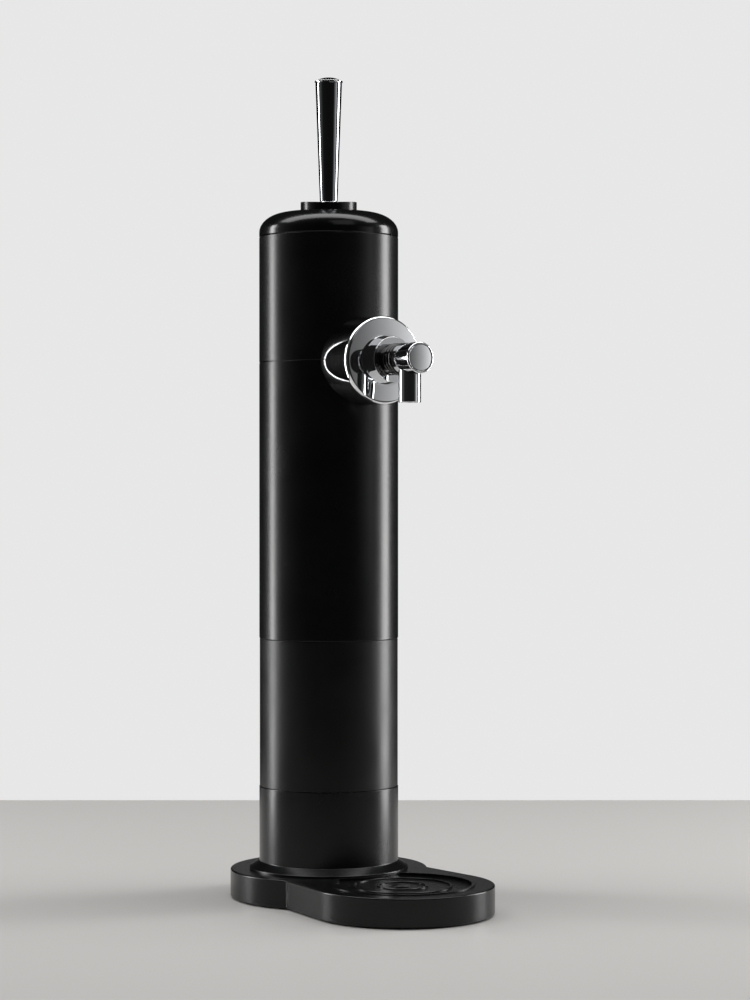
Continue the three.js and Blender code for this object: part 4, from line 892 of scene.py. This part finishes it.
def makeTopCap(size):
    low = headValues["seam"] + size.height
    start = low + size.skirt
    reach, rise = size.shoulderReach, size.shoulderRise
    centre = size.radius - reach
    flat, hole, plug, wall = size.flat, size.crownHole, size.crownPlug, size.wall
    top = start + rise + size.crown
    lip, lipFoot = size.lipRadius, low - size.lipDepth
    profile = [
        (lip - size.lipWall, lipFoot), (lip - 0.5, lipFoot), (lip, lipFoot + 0.5), (lip, low),
        *chamferedEnd(size.radius, low, size.chamfer, False),
        *arcPoints(centre, start, reach, rise, 0, 90, 20),
        (flat + size.flatEase, top - size.flatDrop), (flat, top), (hole, top), (hole, top - wall),
        (flat, top - wall),
        *reversed(arcPoints(centre, start, reach - wall, rise - wall, 0, 90, 8)),
        (size.radius - wall, low + size.lipShoulder), (lip - size.lipWall, low + size.lipShoulder),
    ]
    cap = turnRound("visualTopCap", profile, size.sides, closed=True)
    join(cap, turnRound("crown", [(plug, top - wall), (plug, top)], 96))
    wide = size.slotWidth
    half = size.slotLength - wide
    slot = addBlock("slot", -wide, wide, -half, half, top - 6, top + 6)
    for y in (-half, half):
        join(slot, addBar("slotEnd", wide, top - 6, top + 6, 48, place=(0, y, 0)))
    carve(cap, slot)
    return cap


buildPiece(makeTopCap, capValues, "capBlack", "gloss_black", "head", "top_cap", angle=30)

leverRingValues = {
    "low": 492.2, "radius": 20.2, "wall": 3.5, "height": 7.1, "edge": 0.7, "arch": 120,
    "archTurn": -0.5756,  # radians, so that the arch shows from the photo's side
}


def makeLeverRing(size):
    low, high = size.low, size.low + size.height
    radius, inner = size.radius, size.radius - size.wall
    profile = [(inner, low), (radius, low), (radius, high + 1), (inner, high + 1)]
    ring = turnRound("visualLeverRing", profile, 160, closed=True)
    carve(ring, addBar("arch", size.arch, -40, 40, 640, (0, quarterTurn, size.archTurn),
                       (0, 0, high - size.arch)), "INTERSECT")
    roundEdges(ring, size.edge, 4, 50)
    return ring


buildPiece(makeLeverRing, leverRingValues, "glossBlack", "gloss_black", "head", "lever_ring")
print("cap and ring made")

doorValues = {
    "halfWidth": 23.7, "low": 12.1, "high": 72.5, "radius": 50, "inner": 47, "edge": 0.35,
    "groove": 0.8, "grooves": 3, "pitch": 4, "grooveDrop": 8, "gripHalf": 11,
}


def makeBatteryDoor(size):
    low, high = headValues["seam"] + size.low, headValues["seam"] + size.high
    radius, inner, half, grip = size.radius, size.inner, size.halfWidth, size.gripHalf
    profile = [(inner, low), (radius, low), (radius, high), (inner, high)]
    door = turnRound("visualBatteryDoor", profile, 160, closed=True)
    carve(door, addBlock("doorWidth", -half, half, 20, 70, low - 5, high + 5), "INTERSECT")
    roundEdges(door, size.edge, 3, 50)
    for i in range(size.grooves):
        height = high - size.grooveDrop + (i - 1) * size.pitch - size.pitch
        profile = [(radius - size.groove, height), (radius + 2, height - size.groove - 1),
                   (radius + 2, height + size.groove + 1)]
        groove = turnRound("gripGroove", profile, 160, closed=True)
        carve(groove, addBlock("gripWidth", -grip, grip, 20, 70, height - 5, height + 5), "INTERSECT")
        carve(door, groove)
    return door


buildPiece(makeBatteryDoor, doorValues, "headBlack", "satin_black", "door", "battery_door")

cellValues = {
    "low": 14.5, "height": 50.5, "radius": 7.25, "tipRadius": 2.7, "tipHeight": 1,
    "pitch": 15.3, "y": 28.55, "cells": 3,
}


def makeCell(size, index):
    low = headValues["seam"] + size.low
    top = low + size.height
    shoulder = top - size.tipHeight
    radius, tip = size.radius, size.tipRadius
    profile = [
        (radius - 1.6, low), (radius - 1.2, low + 0.25), (radius - 0.4, low + 0.1),
        (radius, low + 0.6), (radius, shoulder - 0.6), (radius - 0.5, shoulder),
        (tip + 1.4, shoulder), (tip + 1.2, shoulder - 0.3), (tip, shoulder - 0.3), (tip, top - 0.3),
        (tip - 0.3, top),
    ]
    x = (index - (size.cells - 1) / 2) * size.pitch
    return turnRound(f"visual_battery_cell_{index + 1}", profile, 64, x=x, y=size.y)


for cellIndex in range(cellValues["cells"]):
    cell = makeCell(SimpleNamespace(**cellValues), cellIndex)
    finishPiece(cell, "cellSleeve", "cell", "head", f"battery_cell_{cellIndex + 1}")

dipTubeValues = {
    "radius": 4, "bore": 2.6, "low": 40, "high": 374, "edge": 0.3, "notchRadius": 1.2,
    "sides": 64,
}


def makeDipTube(size):
    low, high, radius, edge = size.low, size.high, size.radius, size.edge
    profile = [
        (size.bore, low), (radius - edge, low), (radius, low + edge), (radius, high - edge),
        (radius - edge, high), (size.bore, high),
    ]
    tube = turnRound("visualDipTube", profile, size.sides, closed=True)
    for turn in (0, quarterTurn):  # notches that keep the tube from sealing on the can's floor
        carve(tube, addBar("footNotch", size.notchRadius, -8, 8, 32, (0, quarterTurn, turn), (0, 0, low)))
    return tube


buildPiece(makeDipTube, dipTubeValues, "plainSteel", "steel", "head", "dip_tube")
print("door, cells and dip tube made")


# Lever

leverValues = {
    "pivot": 470, "hubRadius": 6, "hubHalf": 6, "armLength": 16.5, "armWidth": 3,
    "armThickness": 3.5, "rodRadius": 3.2, "rodHeight": 75, "rodEdge": 0.5, "pinHole": 2.1,
}


def makeLeverRod(size):
    pivot, sideways = size.pivot, (0, quarterTurn, 0)
    foot = addBar("visualLeverRod", size.hubRadius, -size.hubHalf, size.hubHalf, 64, sideways, (0, 0, pivot))
    wide, long, armLow = size.armWidth, size.armLength, pivot - size.hubRadius
    join(foot, addBlock("arm", -wide, wide, -long, long, armLow, armLow + size.armThickness))
    radius, top, edge = size.rodRadius, pivot + size.rodHeight, size.rodEdge
    join(foot, turnRound("rod", [(radius, pivot), (radius, top - edge), (radius - edge, top)], 64))
    carve(foot, addBar("pinHole", size.pinHole, -20, 20, 48, sideways, (0, 0, pivot)))
    return foot


buildPiece(makeLeverRod, leverValues, "plainSteel", "steel", "lever", "lever_rod")

ferruleValues = {
    "low": 497.7, "height": 1.9, "groove": 0.5, "radius": 6.4, "neck": 5.4, "bore": 3.5,
    "edge": 0.35,
}
handleValues = {
    "low": 500.1, "length": 85, "footRadius": 6.4, "topRadius": 9.6, "edge": 0.6, "bore": 3.5,
    "socket": 6.3, "socketDepth": 7.3,
}
handleCapValues = {
    "low": 585.1, "neck": 9.0, "groove": 0.3, "radius": 10.1, "brim": 1.1, "dome": 2.6,
    "domeSteps": 16, "edge": 0.3, "spigot": 6, "spigotLength": 7,
}


def makeFerrule(size):
    low, edge, radius = size.low, size.edge, size.radius
    shoulder = low + size.height
    top = shoulder + size.groove
    profile = [
        (size.bore, low), (radius - edge, low),
        *arcPoints(radius - edge, low + edge, edge, edge, -60, 0, 2),
        *arcPoints(radius - edge, shoulder - edge, edge, edge, 0, 90, 3),
        (size.neck, shoulder), (size.neck, top), (size.bore, top),
    ]
    return turnRound("visualHandleFerrule", profile, closed=True)


def makeHandle(size):
    low, high, edge = size.low, size.low + size.length, size.edge
    foot, top = size.footRadius, size.topRadius
    slope = (top - foot) / size.length
    profile = [
        (size.bore, low), (foot - 0.3, low), (foot - 0.08, low + 0.08), (foot, low + 0.3),
        (top - slope * edge, high - edge), (top - 0.18, high - 0.18), (top - edge, high),
        (size.socket, high), (size.socket, high - size.socketDepth),
        (size.bore, high - size.socketDepth),
    ]
    return turnRound("visualHandle", profile, 160, closed=True)


def makeHandleCap(size):
    low, edge = size.low, size.edge
    foot = low + size.groove
    brim = foot + size.brim
    start = size.radius - edge
    spigot, spigotFoot = size.spigot, low - size.spigotLength
    profile = [
        (spigot - 0.5, spigotFoot), (spigot, spigotFoot + 0.5), (spigot, low), (size.neck, low),
        (size.neck, foot),
        *arcPoints(start, foot + edge, edge, edge, -90, 0, 3),
        *arcPoints(start, brim - edge, edge, edge, 0, 60, 3),
        (start, brim), *domePoints(start, brim, size.dome, size.domeSteps),
    ]
    return turnRound("visualHandleCap", profile, 160)


buildPiece(makeFerrule, ferruleValues, "chromePlate", "chrome", "lever", "handle_ferrule")
buildPiece(makeHandle, handleValues, "darkChrome", "chrome", "lever", "handle")
buildPiece(makeHandleCap, handleCapValues, "chromePlate", "chrome", "lever", "handle_cap", angle=30)
print("lever made")


# Tap: its pieces are modelled upright at their distance from the tower's axis, then laid forwards

def layForwards(piece):
    piece.rotation_euler.x = quarterTurn
    piece.location.z = towerValues["tapHeight"] * mm
    settle(piece)
    return piece


shieldValues = {
    "radius": 31, "back": 25, "rim": 70.5, "wall": 2.5, "edge": 1.8, "lip": 3.2,
    "domeHeight": 0.8, "domeFlat": 18, "domeSteps": 12, "bore": 8.6, "saddle": 50.3,
    "saddleHalf": 60, "saddleEdge": 0.25, "sides": 192,
}


def makeShield(size):
    radius, rim, edge = size.radius, size.rim, size.edge
    start, flat, lip = radius - edge, size.domeFlat, rim + size.lip
    dome = []
    for i in range(1, size.domeSteps + 1):
        across = start + (flat - start) * i / size.domeSteps
        climbed = (start ** 2 - across ** 2) / (start ** 2 - flat ** 2)
        dome.append((across, lip + size.domeHeight * climbed))
    face = lip + size.domeHeight
    inner, floor = radius - size.wall, face - size.wall
    profile = [
        (inner, size.back), (radius, size.back),
        *arcPoints(start, rim, edge, size.lip, 0, 90, 10),
        *dome,
        (size.bore, face), (size.bore, floor), (flat, floor), (inner, lip - size.wall),
    ]
    shield = layForwards(turnRound("visualEscutcheon", profile, size.sides, closed=True))
    height, half = towerValues["tapHeight"], size.saddleHalf
    carve(shield, addBar("saddle", size.saddle, height - half, height + half, 192))
    roundEdges(shield, size.saddleEdge, 2, 55)
    return shield


buildPiece(makeShield, shieldValues, "chromePlate", "chrome", "head", "escutcheon")

collarValues = {
    "back": 74.6, "front": 84.5, "radius": 17, "frontRadius": 15.8, "edge": 0.35, "bore": 8.6,
}


def makeCollar(size):
    radius, edge, back = size.radius, size.edge, size.back
    profile = [
        (size.bore, back), (radius - 0.3, back), (radius, back + 0.3),
        *arcPoints(size.frontRadius - edge, size.front - edge, edge, edge, 0, 90, 5),
        (size.bore, size.front),
    ]
    return layForwards(turnRound("visualTapCollar", profile, 160, closed=True))


buildPiece(makeCollar, collarValues, "chromePlate", "chrome", "head", "tap_collar")

neckValues = {
    "back": 84.6, "length": 13.8, "radius": 10.2, "ribRadius": 11, "ribHalf": 1.3, "ribs": 3,
    "bore": 8.6,
}


def makeNeck(size):
    radius, back, front = size.radius, size.back, size.back + size.length
    pitch = size.length / (size.ribs + 1)
    profile = [(size.bore, back), (radius, back)]
    for i in range(1, size.ribs + 1):
        profile += arcPoints(radius, back + i * pitch, size.ribRadius - radius, size.ribHalf, -90, 90, 10)
    profile += [(radius, front), (size.bore, front)]
    return layForwards(turnRound("visualTapNeck", profile, closed=True))


buildPiece(makeNeck, neckValues, "mirrorBlack", "gloss_black", "head", "tap_neck", angle=45)

knobValues = {
    "back": 98.5, "length": 20.2, "radius": 10.8, "edge": 0.9, "backEdge": 0.25,
    "capRadius": 9.4, "capGap": 0.3, "capSeat": 3.4, "bay": 8.4, "bayDepth": 6, "stemHole": 6.3,
    "capThickness": 3, "capRecess": 0.3, "capEdge": 0.3, "capDome": 0.45, "capSteps": 14,
}


def makeKnob(size):
    radius, edge, backEdge = size.radius, size.edge, size.backEdge
    back, front = size.back, size.back + size.length
    seat, seatFloor, bayFloor = size.capRadius + size.capGap, front - size.capSeat, front - size.bayDepth
    profile = [
        (size.stemHole, back),
        *arcPoints(radius - backEdge, back + backEdge, backEdge, backEdge, -90, 0, 3),
        *arcPoints(radius - edge, front - edge, edge, edge, 0, 90, 4),
        (seat, front), (seat, seatFloor), (size.bay, seatFloor), (size.bay, bayFloor),
        (size.stemHole, bayFloor),
    ]
    return layForwards(turnRound("visualTapBody", profile, 160, closed=True))


def makeKnobCap(size):
    front = size.back + size.length - size.capRecess
    radius, edge = size.capRadius, size.capEdge
    profile = [
        (radius, front - size.capThickness),
        *arcPoints(radius - edge, front - edge, edge, edge, 0, 90, 3),
        *domePoints(radius - edge, front, size.capDome, size.capSteps),
    ]
    return layForwards(turnRound("visualTapCap", profile, 160))


buildPiece(makeKnob, knobValues, "chromePlate", "chrome", "head", "tap_body")
buildPiece(makeKnobCap, knobValues, "chromePlate", "chrome", "head", "tap_cap")

spoutValues = {
    "reach": 105, "radius": 7.8, "bottom": 353, "bore": 5.6, "boreTop": 360, "narrow": 2.5,
    "edge": 0.6, "saddle": 11.1,
}


def makeSpout(size):
    low, edge, top = size.bottom, size.edge, towerValues["tapHeight"]
    bore, boreTop = size.bore, size.boreTop
    profile = [
        (size.narrow, boreTop), (bore - 0.6, boreTop), (bore, boreTop - 0.6), (bore, low + 0.3),
        (bore + 0.3, low),
        *arcPoints(size.radius - edge, low + edge, edge, edge, -90, 0, 4),
        (size.radius, top), (size.narrow, top),
    ]
    spout = turnRound("visualSpout", profile, closed=True, y=-size.reach)
    carve(spout, addForwardBar("spoutSaddle", size.saddle, 60, 130, 160, 0, top))
    return spout


buildPiece(makeSpout, spoutValues, "chromePlate", "chrome", "head", "spout")
print("tap made")
